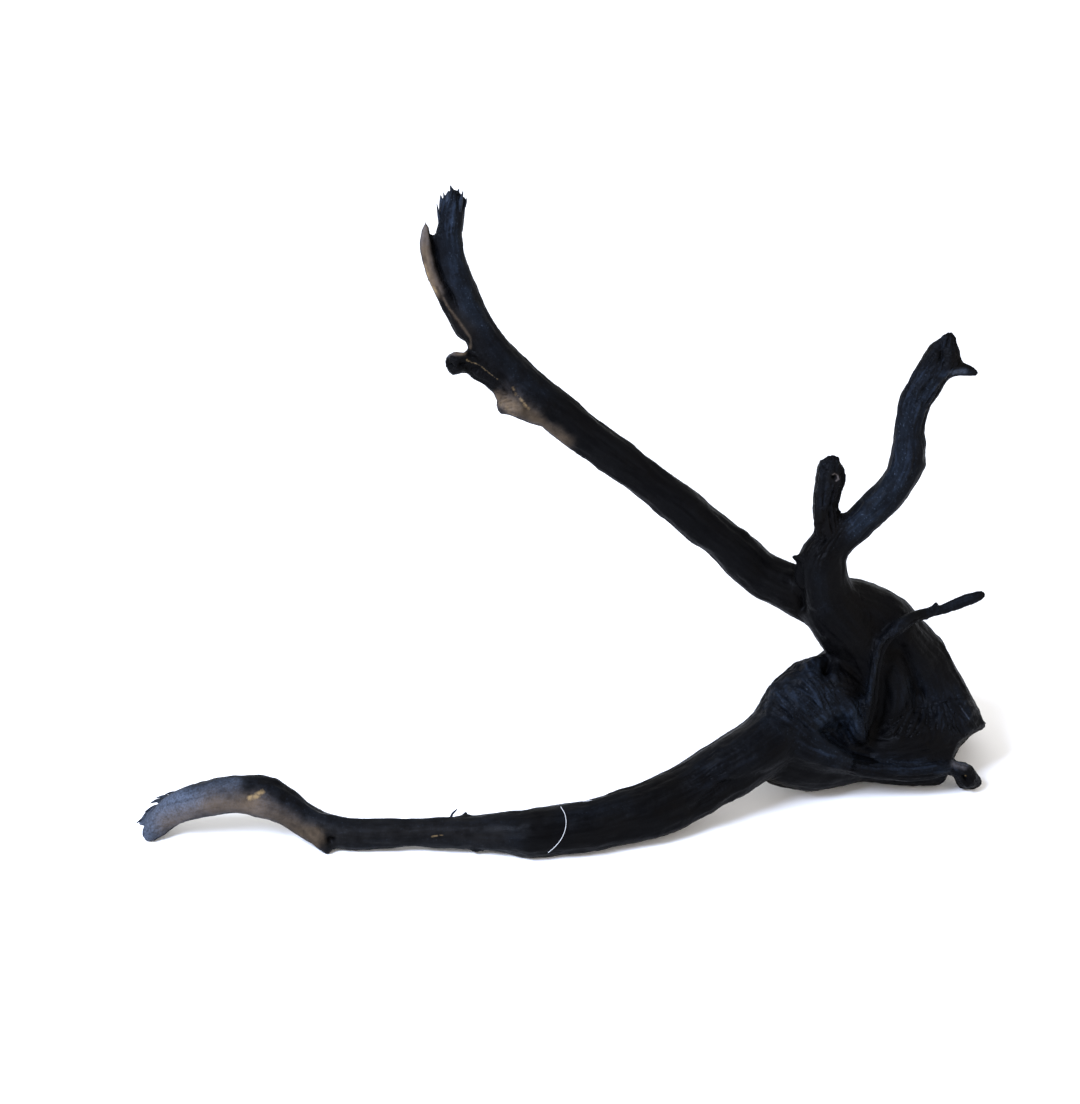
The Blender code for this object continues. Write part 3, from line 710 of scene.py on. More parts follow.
def value_noise(points: Array, size: float, seed: int) -> Array:
    """Smooth noise from -1 to 1: random values at the corners of cells, eased between them.

    Args:
        points: rows of x, y and z.
        size: the cell's side, in the same unit.
        seed: picks another noise.

    Returns:
        One value for each point.
    """
    scaled = points / size + np.array([17.3, 5.9, 31.7]) * (seed + 1)
    cell = np.floor(scaled).astype(np.int64)
    t = scaled - cell
    t = t * t * t * (t * (t * 6 - 15) + 10)
    total = np.zeros(len(points))
    for dx in (0, 1):
        for dy in (0, 1):
            for dz in (0, 1):
                x, y, z = cell[:, 0] + dx, cell[:, 1] + dy, cell[:, 2] + dz
                key = (x * 73856093) ^ (y * 19349663) ^ (z * 83492791) ^ (seed * 2654435761)
                key = (key ^ (key >> 13)) * 1274126177 & 0x7FFFFFFF
                key = (key ^ (key >> 11)) * 668265263 & 0x7FFFFFFF
                value = key / 0x3FFFFFFF - 1.0
                weight = (t[:, 0] if dx else 1 - t[:, 0]) * (t[:, 1] if dy else 1 - t[:, 1])
                total += value * weight * (t[:, 2] if dz else 1 - t[:, 2])
    return total


def fractal(points: Array, size: float, seed: int, octaves: int = 3) -> Array:
    """Noise at several scales, each half as wide and half as strong as the one before."""
    total = np.zeros(len(points))
    for k in range(octaves):
        total += value_noise(points, size / 2**k, seed + 7 * k) / 2**k
    return total / (2 - 0.5 ** (octaves - 1))


def streaks(points: Array, way: Array, width: float, length: float, seed: int) -> Array:
    """Noise drawn out along the grain: the mean of fine noise over a short run each side of the point.

    Args:
        points: rows of x, y and z in mm.
        way: the grain's direction at each point.
        width: how wide a streak is, in mm.
        length: how long it is.
        seed: picks another noise.

    Returns:
        One value for each point, about from -1 to 1.
    """
    steps = max(3, round(length / width)) | 1
    total = np.zeros(len(points))
    for along in np.linspace(-length / 2, length / 2, steps):
        total += value_noise(points + way * along, width, seed)
    return total / math.sqrt(steps) / 0.6


def smooth_run(rows: Array, step: float) -> tuple[Array, Array]:
    """The rows as a smooth curve: cubic pieces whose slope at each row is the mean slope beside it.

    Args:
        rows: the stations, the first three columns their places.
        step: how far apart the points of the curve are.

    Returns:
        The curve's rows, and how far along it each is.
    """
    along = np.concatenate([[0.0], np.cumsum(np.linalg.norm(np.diff(rows[:, :3], axis=0), axis=1))])
    slopes = np.gradient(rows, along, axis=0)
    wanted = np.linspace(0.0, along[-1], max(2, round(along[-1] / step) + 1))
    piece = np.clip(np.searchsorted(along, wanted, side="right") - 1, 0, len(rows) - 2)
    length = (along[piece + 1] - along[piece])[:, None]
    t = (wanted - along[piece])[:, None] / length
    start = (1 + 2 * t) * (1 - t) ** 2 * rows[piece] + t * (1 - t) ** 2 * length * slopes[piece]
    end = t * t * (3 - 2 * t) * rows[piece + 1] + t * t * (t - 1) * length * slopes[piece + 1]
    return start + end, wanted


def carried_frames(points: Array) -> tuple[Array, Array, Array]:
    """Two directions across a path, turned as little as they can be, and the path's own direction."""
    ways = unit(np.gradient(points, axis=0))
    side = np.cross([0.0, 0.0, 1.0], ways[0])
    side = side if np.linalg.norm(side) > 0.1 else np.array([1.0, 0.0, 0.0])
    sides = []
    for way in ways:
        side = side - (side @ way) * way
        side = side / np.linalg.norm(side)
        sides.append(side)
    sides = np.array(sides)
    return sides, np.cross(ways, sides), ways


@dataclass
class Patch:
    """Arrays of one mesh while it is worked on: places in mm, and faces of four corners."""

    points: Array
    faces: Array

    def normals(self) -> Array:
        """The mean direction of the faces round each point: the cross product of each face's diagonals."""
        a, b, c, d = (self.points[self.faces[:, k]] for k in range(4))
        across = np.cross(c - a, d - b)
        total = np.zeros_like(self.points)
        for k in range(4):
            for axis in range(3):
                total[:, axis] += np.bincount(self.faces[:, k], across[:, axis], len(self.points))
        return unit(total)

    def sides(self) -> tuple[Array, Array]:
        """The two ends of every side of every face."""
        return self.faces.ravel(), np.roll(self.faces, -1, axis=1).ravel()


class Smoother:
    """Averages values over each point's neighbours."""

    def __init__(self, patch: Patch) -> None:
        """Finds how many neighbours each point has."""
        first, second = patch.sides()
        self.first = np.concatenate([first, second])
        self.second = np.concatenate([second, first])
        self.count = np.maximum(np.bincount(self.first, minlength=len(patch.points)), 1)

    def mean(self, values: Array) -> Array:
        """The mean of each point's neighbours, one column at a time."""
        if values.ndim == 1:
            return np.bincount(self.first, values[self.second], len(self.count)) / self.count
        return np.stack([self.mean(values[:, k]) for k in range(values.shape[1])], axis=1)

    def eased(self, values: Array, rounds: int, share: float | Array = 0.5) -> Array:
        """The values moved towards their neighbours' mean, this many times and by this share."""
        for _ in range(rounds):
            values = values + share * (self.mean(values) - values)
        return values


def tube(rows: Array, phase: float, step: float, sides: int) -> tuple[Array, Array]:
    """A limb as rings carried along its smooth curve, with round ends.

    The radius at angle a and distance s along is the station's radius times a slow waver: 1 plus swells
    of two, three and five sides that wind along the limb.

    Args:
        rows: x, y, z and radius at each station, in mm.
        phase: where the swells start.
        step: how far apart the rings are.
        sides: how many points a ring has.

    Returns:
        The points, and faces of four corners; the ends close on a point each.
    """
    run, along = smooth_run(rows, step)
    side, over, way = carried_frames(run[:, :3])
    last = len(run) - 1
    bends = np.radians([89.0, 80.0, 50.0, 25.0])
    index = np.concatenate([[0] * 4, np.arange(len(run)), [last] * 4])
    out = np.concatenate([-np.sin(bends), np.zeros(len(run)), np.sin(bends[::-1])])
    share = np.concatenate([np.cos(bends), np.ones(len(run)), np.cos(bends[::-1])])
    angle = np.linspace(0, 2 * math.pi, sides, endpoint=False)[None, :]
    s = along[index][:, None]
    waver = 1 + 0.026 * np.sin(2 * angle + phase + s / 55)
    waver = waver + 0.020 * np.sin(3 * angle + 2.1 * phase - s / 42)
    waver += 0.012 * np.sin(5 * angle + 3.3 * phase + s / 27)
    radius = run[index, 3][:, None] * share[:, None] * waver
    middle = run[index, :3] + way[index] * (out * run[index, 3])[:, None]
    spokes = np.cos(angle)[..., None] * side[index][:, None] + np.sin(angle)[..., None] * over[index][:, None]
    points = (middle[:, None] + spokes * radius[..., None]).reshape(-1, 3)
    rings = len(index)
    ring = np.arange(rings - 1)[:, None] * sides
    k = np.arange(sides)[None, :]
    n = (k + 1) % sides
    faces = np.stack([ring + k, ring + n, ring + sides + n, ring + sides + k], axis=-1).reshape(-1, 4)
    ends = np.array([points[:sides].mean(axis=0), points[-sides:].mean(axis=0)])
    low, high = len(points), len(points) + 1
    k, n = k[0], n[0]
    top = (rings - 1) * sides
    foot_cap = np.stack([n, k, np.full(sides, low), np.full(sides, low)], axis=1)
    head_cap = np.stack([top + k, top + n, np.full(sides, high), np.full(sides, high)], axis=1)
    return np.concatenate([points, ends]), np.concatenate([faces, foot_cap, head_cap])


def mesh_of(name: str, points: Array, faces: Array) -> bpy.types.Mesh:
    """A mesh from arrays: points in mm, and faces whose last corner is repeated where they have three."""
    mesh = bpy.data.meshes.new(name)
    three = faces[:, 2] == faces[:, 3]
    total = np.where(three, 3, 4)
    keep = np.ones(faces.shape, bool)
    keep[three, 3] = False
    corners = faces[keep]
    mesh.vertices.add(len(points))
    mesh.vertices.foreach_set("co", (points * MM).astype(np.float32).ravel())
    mesh.loops.add(len(corners))
    mesh.loops.foreach_set("vertex_index", corners.astype(np.int32))
    mesh.polygons.add(len(faces))
    mesh.polygons.foreach_set("loop_start", np.concatenate([[0], np.cumsum(total)[:-1]]).astype(np.int32))
    mesh.update(calc_edges=True)
    mesh.validate()
    return mesh


def object_of(mesh: bpy.types.Mesh) -> bpy.types.Object:
    """The mesh as an object of the scene, at the origin."""
    piece = bpy.data.objects.new(mesh.name, mesh)
    bpy.context.scene.collection.objects.link(piece)
    return piece


def patch_of(piece: bpy.types.Object) -> Patch:
    """The object's mesh, with its modifiers, as arrays."""
    graph = bpy.context.evaluated_depsgraph_get()
    mesh = piece.evaluated_get(graph).to_mesh()
    points = np.empty(len(mesh.vertices) * 3, np.float32)
    mesh.vertices.foreach_get("co", points)
    starts = np.empty(len(mesh.polygons), np.int32)
    totals = np.empty(len(mesh.polygons), np.int32)
    corners = np.empty(len(mesh.loops), np.int32)
    mesh.polygons.foreach_get("loop_start", starts)
    mesh.polygons.foreach_get("loop_total", totals)
    mesh.loops.foreach_get("vertex_index", corners)
    faces = np.stack([corners[starts + np.minimum(k, totals - 1)] for k in range(4)], axis=1)
    return Patch(points.reshape(-1, 3).astype(float) / MM, faces.astype(np.int64))


@dataclass
class Root:
    """The whole root: fuses its limbs, cuts and weathers the skin, and parts it into pieces."""

    limbs: list[Limb]
    marks: list[Mark]
    voxel: float = VOXEL
    # How far apart a limb's rings are, in mm, and how many points each has.
    ring_step: float = 4.0
    ring_sides: int = 40
    # How often the skin is smoothed where limbs meet, and how far from there it still is, in mm.
    fillet_rounds: int = 22
    fillet_reach: float = 5.0
    # Faces rougher than this are parted in four.
    fine_above: float = 0.6
    # About how many faces the stump may have after that, so that it stays under 200,000 triangles.
    most_stump_faces: int = 91_000
    # What smoothing takes off, added to every radius before it.
    spare: float = 0.35
    skin: Patch = field(init=False)
    values: dict[str, Array] = field(init=False, default_factory=dict)

    def build(self) -> None:
        """Makes the skin and everything that is worked out on it."""
        self.fuse()
        self.read_limbs()
        self.fillet()
        self.read_view()
        self.refine()
        self.read_grain()
        self.weather()
        self.label()

    def fuse(self) -> None:
        """One closed skin round all the limbs: the thick ones are fused, sawn and broken, and then the thin
        roots are fused to them and the whole is set on the floor."""
        tubes = []
        for k, limb in enumerate(self.limbs):
            thin = limb.node in ("thin_twig", "side_root")
            rows = limb.rows()
            rows[:, 3] += self.spare
            tubes.append((thin, tube(rows, 0.4 + 1.3 * k, self.ring_step, self.ring_sides)))
        thick = self.joined([shape for thin, shape in tubes if not thin])
        body = self.cut(self.remeshed(thick), [self.saw(), self.corner()])
        whole = self.joined([(body.points, body.faces)] + [shape for thin, shape in tubes if thin])
        self.skin = self.cut(self.remeshed(whole), [self.floor()])

    @staticmethod
    def joined(shapes: list[tuple[Array, Array]]) -> Patch:
        """Several shapes as one, still through each other where they cross."""
        starts = np.cumsum([0] + [len(points) for points, _ in shapes])
        faces = [faces + start for (_, faces), start in zip(shapes, starts)]
        return Patch(np.concatenate([points for points, _ in shapes]), np.concatenate(faces))

    def remeshed(self, patch: Patch) -> Patch:
        """One skin of even squares round everything in the patch."""
        piece = object_of(mesh_of("skin", patch.points, patch.faces))
        piece.modifiers.new("Skin", "REMESH").voxel_size = self.voxel * MM
        return self.taken(piece)

    def cut(self, patch: Patch, cutters: list[bpy.types.Object]) -> Patch:
        """The patch without what the cutters hold."""
        piece = object_of(mesh_of("skin", patch.points, patch.faces))
        for cutter in cutters:
            away = piece.modifiers.new(cutter.name, "BOOLEAN")
            away.operation = "DIFFERENCE"
            away.solver = "MANIFOLD"
            away.object = cutter
        piece.modifiers.new("Squares", "REMESH").voxel_size = self.voxel * MM
        made = self.taken(piece)
        for cutter in cutters:
            bpy.data.objects.remove(cutter, do_unlink=True)
        return made

    @staticmethod
    def taken(piece: bpy.types.Object) -> Patch:
        """The object's arrays; the object goes."""
        made = patch_of(piece)
        bpy.data.objects.remove(piece, do_unlink=True)
        return made

    def roughness(self) -> Array:
        """How strongly wrinkles stand up: each limb's own share, and the marks that add to it."""
        own = np.array([LIMB_ROUGH.get(limb.name, PLAIN_ROUGH) for limb in self.limbs])[self.limb]
        added = self.amount(Touch.ROUGH) + 0.6 * self.amount(Touch.BARK)
        return np.clip(self.smoother.eased(own, 12) + added, 0, 1.4)

    def fine_faces(self) -> Array:
        """Which faces are rough enough to be parted in four.

        The stump has room for only some of its own. A face's worth there is its roughness times how
        squarely it faces the eye, eased over its neighbours, and the faces of most worth are taken.

        Returns:
            True or false for each face.
        """
        faces = self.skin.faces
        rough = self.roughness()
        four = faces[:, 2] != faces[:, 3]
        fine = four & (rough[faces].max(axis=1) > self.fine_above)
        stump = self.nodes()[faces[:, 0]] == "stump"
        facing = np.maximum(0.5 - self.normal @ SIGHT.ahead, 0.02)
        worth = self.smoother.eased(rough * facing, 8)[faces].mean(axis=1)
        worth = np.where(fine & stump, worth, 0.0)
        room = max(1, (self.most_stump_faces - int(stump.sum())) // 3)
        if (fine & stump).sum() > room:
            fine &= ~stump | (worth > np.sort(worth)[-room])
        return fine

    def refine(self) -> None:
        """Parts each face in four where the skin is rough, so that fine wrinkles have a place to be.

        A face is a grid of its four corners, its four sides' middles and its own middle. A face beside a
        parted one is a fan round its own middle, so that both use the same points along their side.
        """
        faces, points = self.skin.faces, self.skin.points
        fine = self.fine_faces()
        a, b = faces, np.roll(faces, -1, axis=1)
        size = len(points)
        key = np.minimum(a, b) * size + np.maximum(a, b)
        parted = np.unique(key[fine])
        split = np.isin(key, parted) & (a != b)
        middle = size + np.searchsorted(parted, key)
        beside = split.any(axis=1) & ~fine
        centres = np.concatenate([np.flatnonzero(fine), np.flatnonzero(beside)])
        own = np.full(len(faces), -1)
        own[centres] = size + len(parted) + np.arange(len(centres))
        ends = np.stack([parted // size, parted % size], axis=1)
        keep = faces[~fine & ~beside]
        quads = [
            np.stack([faces[fine, k], middle[fine, k], own[fine], middle[fine, k - 1]], axis=1)
            for k in range(4)
        ]
        fans = []
        for k in range(4):
            whole = beside & ~split[:, k] & (a[:, k] != b[:, k])
            fans.append(np.stack([a[whole, k], b[whole, k], own[whole], own[whole]], axis=1))
            half = beside & split[:, k]
            fans.append(np.stack([a[half, k], middle[half, k], own[half], own[half]], axis=1))
            fans.append(np.stack([middle[half, k], b[half, k], own[half], own[half]], axis=1))
        takes = np.concatenate([np.arange(size), ends[:, 0], faces[centres, 0]])
        self.limb = self.limb[takes]
        for name in ("way", "grain", "near", "places", "meeting"):
            value = getattr(self, name)
            mid = (value[ends[:, 0]] + value[ends[:, 1]]) / 2
            setattr(self, name, np.concatenate([value, mid, value[faces[centres]].mean(axis=1)]))
        mid = (points[ends[:, 0]] + points[ends[:, 1]]) / 2
        moved = np.concatenate([points, mid, points[faces[centres]].mean(axis=1)])
        self.skin = Patch(moved, np.concatenate([keep, *quads, *fans]))
        self.smoother = Smoother(self.skin)
        added = np.zeros(len(moved))
        added[size:] = 0.5
        self.parted = np.clip(self.smoother.eased(added, 4) * 3, 0, 1)
        self.skin.points = self.smoother.eased(moved, 3, self.smoother.eased(added, 2)[:, None])
        self.normal = self.skin.normals()

    def saw(self) -> bpy.types.Object:
        """The block beyond the sawn face."""
        high, low = (SIGHT.at_back(*place, SAWN_BACK)[0] for place in SAWN_EDGE)
        edge = unit(low - high)
        outward = unit(np.cross(SIGHT.ahead, edge))
        outward = outward * np.sign(outward[0])
        outward = outward * math.cos(SAWN_TURN) - SIGHT.ahead * math.sin(SAWN_TURN)
        self.sawn_normal, self.sawn_middle = outward, (high + low) / 2
        axes = np.array([outward, np.cross(edge, outward), edge])
        size = (BLOCK_REACH, 2 * BLOCK_REACH, 2 * SAWN_HALF)
        return self.block("saw", self.sawn_middle + outward * BLOCK_REACH / 2, axes, size)

    def block(self, name: str, middle: Array, axes: Array, size: tuple) -> bpy.types.Object:
        """A hidden block: its middle in mm, its own three axes, and its size along each."""
        signs = np.array([[x, y, z] for x in (-1, 1) for y in (-1, 1) for z in (-1, 1)]) / 2
        points = np.array(middle) + (signs * size) @ axes
        faces = [(0, 1, 3, 2), (4, 6, 7, 5), (0, 4, 5, 1), (2, 3, 7, 6), (0, 2, 6, 4), (1, 5, 7, 3)]
        return self.hidden(mesh_of(name, points, np.array(faces)))

    def corner(self) -> bpy.types.Object:
        """The round hollow where the corner below the sawn face is broken out."""
        middle, share = SIGHT.at_back(*BROKEN_CORNER)
        line = unit(middle - SIGHT.eye)
        ends = np.array([middle - line * BLOCK_REACH, middle, middle + line * BLOCK_REACH])
        radius = np.full((3, 1), BROKEN_CORNER_RADIUS * share)
        points, faces = tube(np.hstack([ends, radius]), 0.0, 20.0, 40)
        return self.hidden(mesh_of("corner", points, faces))

    def floor(self) -> bpy.types.Object:
        """The block below the floor."""
        size = (2000.0, 2000.0, BLOCK_REACH)
        return self.block("floor_cut", np.array([0.0, 0.0, -BLOCK_REACH / 2]), np.eye(3), size)

    @staticmethod
    def hidden(mesh: bpy.types.Mesh) -> bpy.types.Object:
        """The mesh as a cutter that no view shows."""
        piece = object_of(mesh)
        piece.hide_render = True
        return piece

    def read_limbs(self) -> None:
        """For each point of the skin: how far it is from each limb's own skin, its nearest limb, and its
        place along and round it."""
        runs = [smooth_run(limb.rows(), self.ring_step) for limb in self.limbs]
        frames = [carried_frames(run[:, :3]) for run, _ in runs]
        starts = np.concatenate([[0], np.cumsum([len(run) for run, _ in runs])[:-1]])
        samples = np.concatenate([run for run, _ in runs])
        points = self.skin.points
        gaps = np.empty((len(points), len(runs)), np.float32)
        nearest = np.empty(len(points), np.int64)
        centres = samples[:, :3].astype(np.float32)
        for start in range(0, len(points), 20000):
            p = points[start : start + 20000].astype(np.float32)
            square = (p**2).sum(axis=1)[:, None] - 2 * p @ centres.T + (centres**2).sum(axis=1)[None]
            gap = np.sqrt(np.maximum(square, 0)) - samples[:, 3].astype(np.float32)[None]
            gaps[start : start + 20000] = np.minimum.reduceat(gap, starts, axis=1)
            nearest[start : start + 20000] = gap.argmin(axis=1)
        side, over, way = (np.concatenate([f[k] for f in frames]) for k in range(3))
        along = np.concatenate([run_along + 400.0 * k for k, (_, run_along) in enumerate(runs)])
        from_middle = points - samples[nearest, :3]
        past = (from_middle * way[nearest]).sum(axis=1)
        self.limb = gaps.argmin(axis=1)
        self.way = way[nearest]
        a = (from_middle * side[nearest]).sum(axis=1)
        b = (from_middle * over[nearest]).sum(axis=1)
        self.grain = np.stack([along[nearest] + past, a, b], axis=1)
        two = np.partition(gaps, 1, axis=1)[:, :2]
        self.meeting = np.exp(-(((two[:, 1] - two[:, 0]) / self.fillet_reach) ** 2))

    def fillet(self) -> None:
        """Smooths the skin a little everywhere and much more where limbs meet."""
        self.smoother = Smoother(self.skin)
        points = self.smoother.eased(self.skin.points, 3)
        mask = self.smoother.eased(self.meeting, 4) * 0.8
        sawn = np.abs((points - self.sawn_middle) @ self.sawn_normal) < 2.5
        mask[sawn] = 0.0
        points = self.smoother.eased(points, self.fillet_rounds, mask[:, None])
        self.skin.points = points
        self.normal = self.skin.normals()

    def read_view(self) -> None:
        """Where each point is in the view, and how much it belongs to the near surface there."""
        self.places, away = SIGHT.sighted(self.skin.points)
        facing = -self.normal @ SIGHT.ahead
        keys = np.floor(self.places / 3.0).astype(int)
        keys -= keys.min(axis=0)
        flat = keys[:, 0] * (keys[:, 1].max() + 1) + keys[:, 1]
        first = np.full(flat.max() + 1, np.inf)
        np.minimum.at(first, flat, away)
        near = np.clip(facing * 2.5, 0, 1) * np.clip((26 - (away - first[flat])) / 8, 0, 1)
        self.near = self.smoother.eased(near, 3)

    def line_place(self, line: tuple) -> tuple[Array, Array]:
        """How far each point is from the line in the view, and the line's direction where it is nearest."""
        line = np.array(line, float)
        best = np.full(len(self.places), np.inf)
        ways = np.zeros((len(self.places), 2))
        if len(line) == 1:
            return np.linalg.norm(self.places - line[0], axis=1), ways
        for start, end in zip(line, line[1:]):
            way = end - start
            share = np.clip((self.places - start) @ way / (way @ way), 0, 1)
            distance = np.linalg.norm(self.places - start - share[:, None] * way, axis=1)
            closer = distance < best
            best[closer] = distance[closer]
            ways[closer] = way / np.linalg.norm(way)
        return best, ways

    def amount(self, touch: Touch) -> Array:
        """The sum of every mark of this kind at each point: its amount times a bell across its line."""
        total = np.zeros(len(self.places))
        for mark in self.marks:
            if mark.touch is touch:
                distance, _ = self.line_place(mark.line)
                fall = distance / mark.wide
                bell = np.exp(-fall) if touch is Touch.CRACK else np.exp(-(fall**2))
                total += mark.amount * bell * self.near
        return total

    def read_grain(self) -> None:
        """The grain's direction: along the limbs, turned by the streak marks, and laid in the skin."""
        way = self.way.copy()
        for mark in self.marks:
            if mark.touch is not Touch.STREAK:
                continue
            distance, flat = self.line_place(mark.line)
            weight = (np.exp(-((distance / mark.wide) ** 2)) * self.near)[:, None]
            lift = flat[:, :1] * np.array([1.0, 0, 0]) + flat[:, 1:] * SIGHT.upward
            facing = np.minimum(self.normal @ SIGHT.ahead, -0.25)
            drawn = unit(lift - ((lift * self.normal).sum(axis=1) / facing)[:, None] * SIGHT.ahead)
            same = np.sign((drawn * way).sum(axis=1))[:, None]
            way = way * (1 - weight) + drawn * np.where(same == 0, 1, same) * weight * 1.5
        way = self.smoother.eased(way, 8)
        way -= (way * self.normal).sum(axis=1)[:, None] * self.normal
        self.way = unit(way)

    def weather(self) -> None:
        """Moves the skin along its normals, and keeps what the finish needs to know at each point.

        The move is lumps and flutes, plus wrinkles times the roughness, plus the marks, plus bark where it
        lies. The sawn face has saw lines and a slow waver instead. Fine wrinkles are added only where the
        skin is rough and its faces are small. Sizes are in mm.
        """
        p, way = self.skin.points, self.way
        rough = self.roughness()
        sawn = np.clip(1 - np.abs((p - self.sawn_middle) @ self.sawn_normal) / 1.6, 0, 1)
        sawn *= (self.normal @ self.sawn_normal) > 0.8
        rough *= 1 - sawn
        lumps = 1.1 * fractal(p, 19.0, 3, 2) + 0.35 * fractal(p, 7.0, 5, 2)
        flutes = streaks(p, way, 5.0, 38.0, 11)
        wrinkles = streaks(p, way, 2.2, 20.0, 23)
        fine = streaks(p, way, 1.3, 13.0, 37)
        ridged = 0.5 - np.abs(fine)
        fine_enough = np.clip((rough - 0.55) / 0.25, 0, 1) * self.parted
        marks = self.amount(Touch.RELIEF) + self.amount(Touch.CRACK)
        out = lumps * (1 - sawn) + 0.35 * flutes * (1 - sawn) + rough * 0.34 * wrinkles + marks
        out += fine_enough * rough * (0.24 * fine + 0.22 * ridged) + (1 - fine_enough) * 0.07 * fine
        bark = np.clip(self.amount(Touch.BARK), 0, 1)
        out += bark * (1.1 * fractal(p, 4.6, 71, 3) - 0.7 * np.abs(fractal(p, 6.5, 83, 2)))
        saw_lines = np.sin(p @ np.array([0.25, 0.1, 1.0]) / 0.9) * 0.12
        out += sawn * (0.25 * fractal(p, 5.0, 51) + saw_lines)
        moved = p + self.normal * out[:, None]
        moved[:, 2] = np.maximum(moved[:, 2], 0.0)
        self.skin.points = moved
        self.normal = self.skin.normals()
        hollow = self.smoother.eased(out, 12) - out
        self.values = {
            "grain": self.grain * MM,
            # How hollow the skin is: the finish paints shade into the hollows with it.
            "hollow": np.clip(hollow * 1.2, -1, 1),
            "streak": np.clip(0.35 * wrinkles + 0.65 * fine, -1, 1),
            "meeting": np.clip(self.smoother.eased(self.meeting, 16) * 1.6, 0, 1),
            "dry": np.clip(self.amount(Touch.DRY), 0, 1),
            # Where the film lies, which also marks the painted bluish sheen.
            "film_and_sheen": np.clip(self.amount(Touch.FILM_AND_SHEEN), 0, 1),
            "warm": np.clip(self.amount(Touch.WARM), 0, 1),
            "tan": np.clip(self.amount(Touch.TAN) * (0.8 + 0.9 * fractal(p, 2.6, 61)), 0, 1),
            "rough": np.clip(rough, 0, 1),
            "sawn": sawn,
            # Where marks cut deeper than 3.8 mm: the finish paints shade into these holes.
            "deep": np.clip((-marks - 3.8) / 3.0, 0, 1),
        }

    def nodes(self) -> Array:
        """The node that each point of the skin belongs to."""
        names = np.array([limb.name for limb in self.limbs])[self.limb]
        node = np.full(len(self.skin.points), "stump", dtype=object)
        for fork in FORKS:
            node[np.isin(names, fork.limbs) & (fork.past(self.skin.points) > 0)] = fork.node
        return node

    def label(self) -> None:
        """Gives each face the node that it belongs to."""
        self.face_node = self.nodes()[self.skin.faces[:, 0]]
        for _ in range(3):
            self.settle()

    def settle(self) -> None:
        """Turns stray faces to what most of their neighbours are."""
        kinds = sorted(set(self.face_node))
        code = np.searchsorted(kinds, self.face_node)
        votes = np.zeros((len(self.skin.points), len(kinds)))
        for k in range(4):
            np.add.at(votes, (self.skin.faces[:, k], code), 1)
        total = votes[self.skin.faces].sum(axis=1)
        self.face_node = np.array(kinds, dtype=object)[total.argmax(axis=1)]

    def piece(self, node: str) -> bpy.types.Object:
        """The part of the skin that stands for one node, closed inside the wood where it was parted.

        Args:
            node: the solid's name.

        Returns:
            The finished object, which keeps the whole skin's normals along its seams.
        """
        faces = self.skin.faces[self.face_node == node]
        used, flat = np.unique(faces, return_inverse=True)
        faces = flat.reshape(faces.shape)
        points, normal = self.skin.points[used], self.normal[used]
        values = {name: value[used] for name, value in self.values.items()}
        caps, middles = self.caps(points, faces)
        points = np.concatenate([points, middles])
        normal = np.concatenate([normal, np.tile([0.0, 0.0, 1.0], (len(middles), 1))])
        mesh = mesh_of(node + "_skin", points, np.concatenate([faces, caps]) if len(caps) else faces)
        for name, value in values.items():
            kind = "FLOAT_VECTOR" if value.ndim == 2 else "FLOAT"
            value = np.concatenate([value, np.zeros((len(middles), *value.shape[1:]))])
            layer = mesh.attributes.new(name, kind, "POINT")
            layer.data.foreach_set("vector" if value.ndim == 2 else "value", value.astype(np.float32).ravel())
        mesh.shade_smooth()
        mesh.normals_split_custom_set_from_vertices(normal.tolist())
        return object_of(mesh)

    @staticmethod
    def caps(points: Array, faces: Array) -> tuple[Array, Array]:
        """Fans of triangles that close each open edge, from a point in the wood behind its middle."""
        a, b = faces.ravel(), np.roll(faces, -1, axis=1).ravel()
        size = len(points)
        forward, backward = a * size + b, b * size + a
        edge = ~np.isin(forward, backward) & (a != b)
        a, b = a[edge], b[edge]
        if not len(a):
            return np.zeros((0, 4), int), np.zeros((0, 3))
        group = np.arange(size)
        for _ in range(400):
            lower = np.minimum(group[a], group[b])
            before = group.copy()
            np.minimum.at(group, a, lower)
            np.minimum.at(group, b, lower)
            if (group == before).all():
                break
        loops = np.unique(group[a])
        middles = np.array([points[a[group[a] == loop]].mean(axis=0) for loop in loops])
        centre = size + np.searchsorted(loops, group[a])
        return np.stack([b, a, centre, centre], axis=1), middles


@dataclass(frozen=True)
class Spike:
    """A thin tapered form that grows from the skin: a splinter, a flake, a hair root or a lint fibre."""

    stations: Stations
    placing: Placing = Placing.BACK
    flat: float = 1.0

    def shape(self, step: float, sides: int) -> tuple[Array, Array]:
        """A round or flat profile carried along the stations: its radius across, times `flat` the other way.

        Args:
            step: how far apart the rings are, in mm.
            sides: how many points a ring has.

        Returns:
            The points and the faces.
        """
        limb = Limb("spike", "spike", self.stations, self.placing)
        points, faces = tube(limb.rows(), 0.0, step, sides)
        if self.flat == 1.0:
            return points, faces
        run, _ = smooth_run(limb.rows(), step)
        _, over, _ = carried_frames(run[:, :3])
        middle = run[:, :3].mean(axis=0)
        away = (points - middle) @ over.mean(axis=0)
        return points - np.outer(away * (1 - self.flat), over.mean(axis=0)), faces


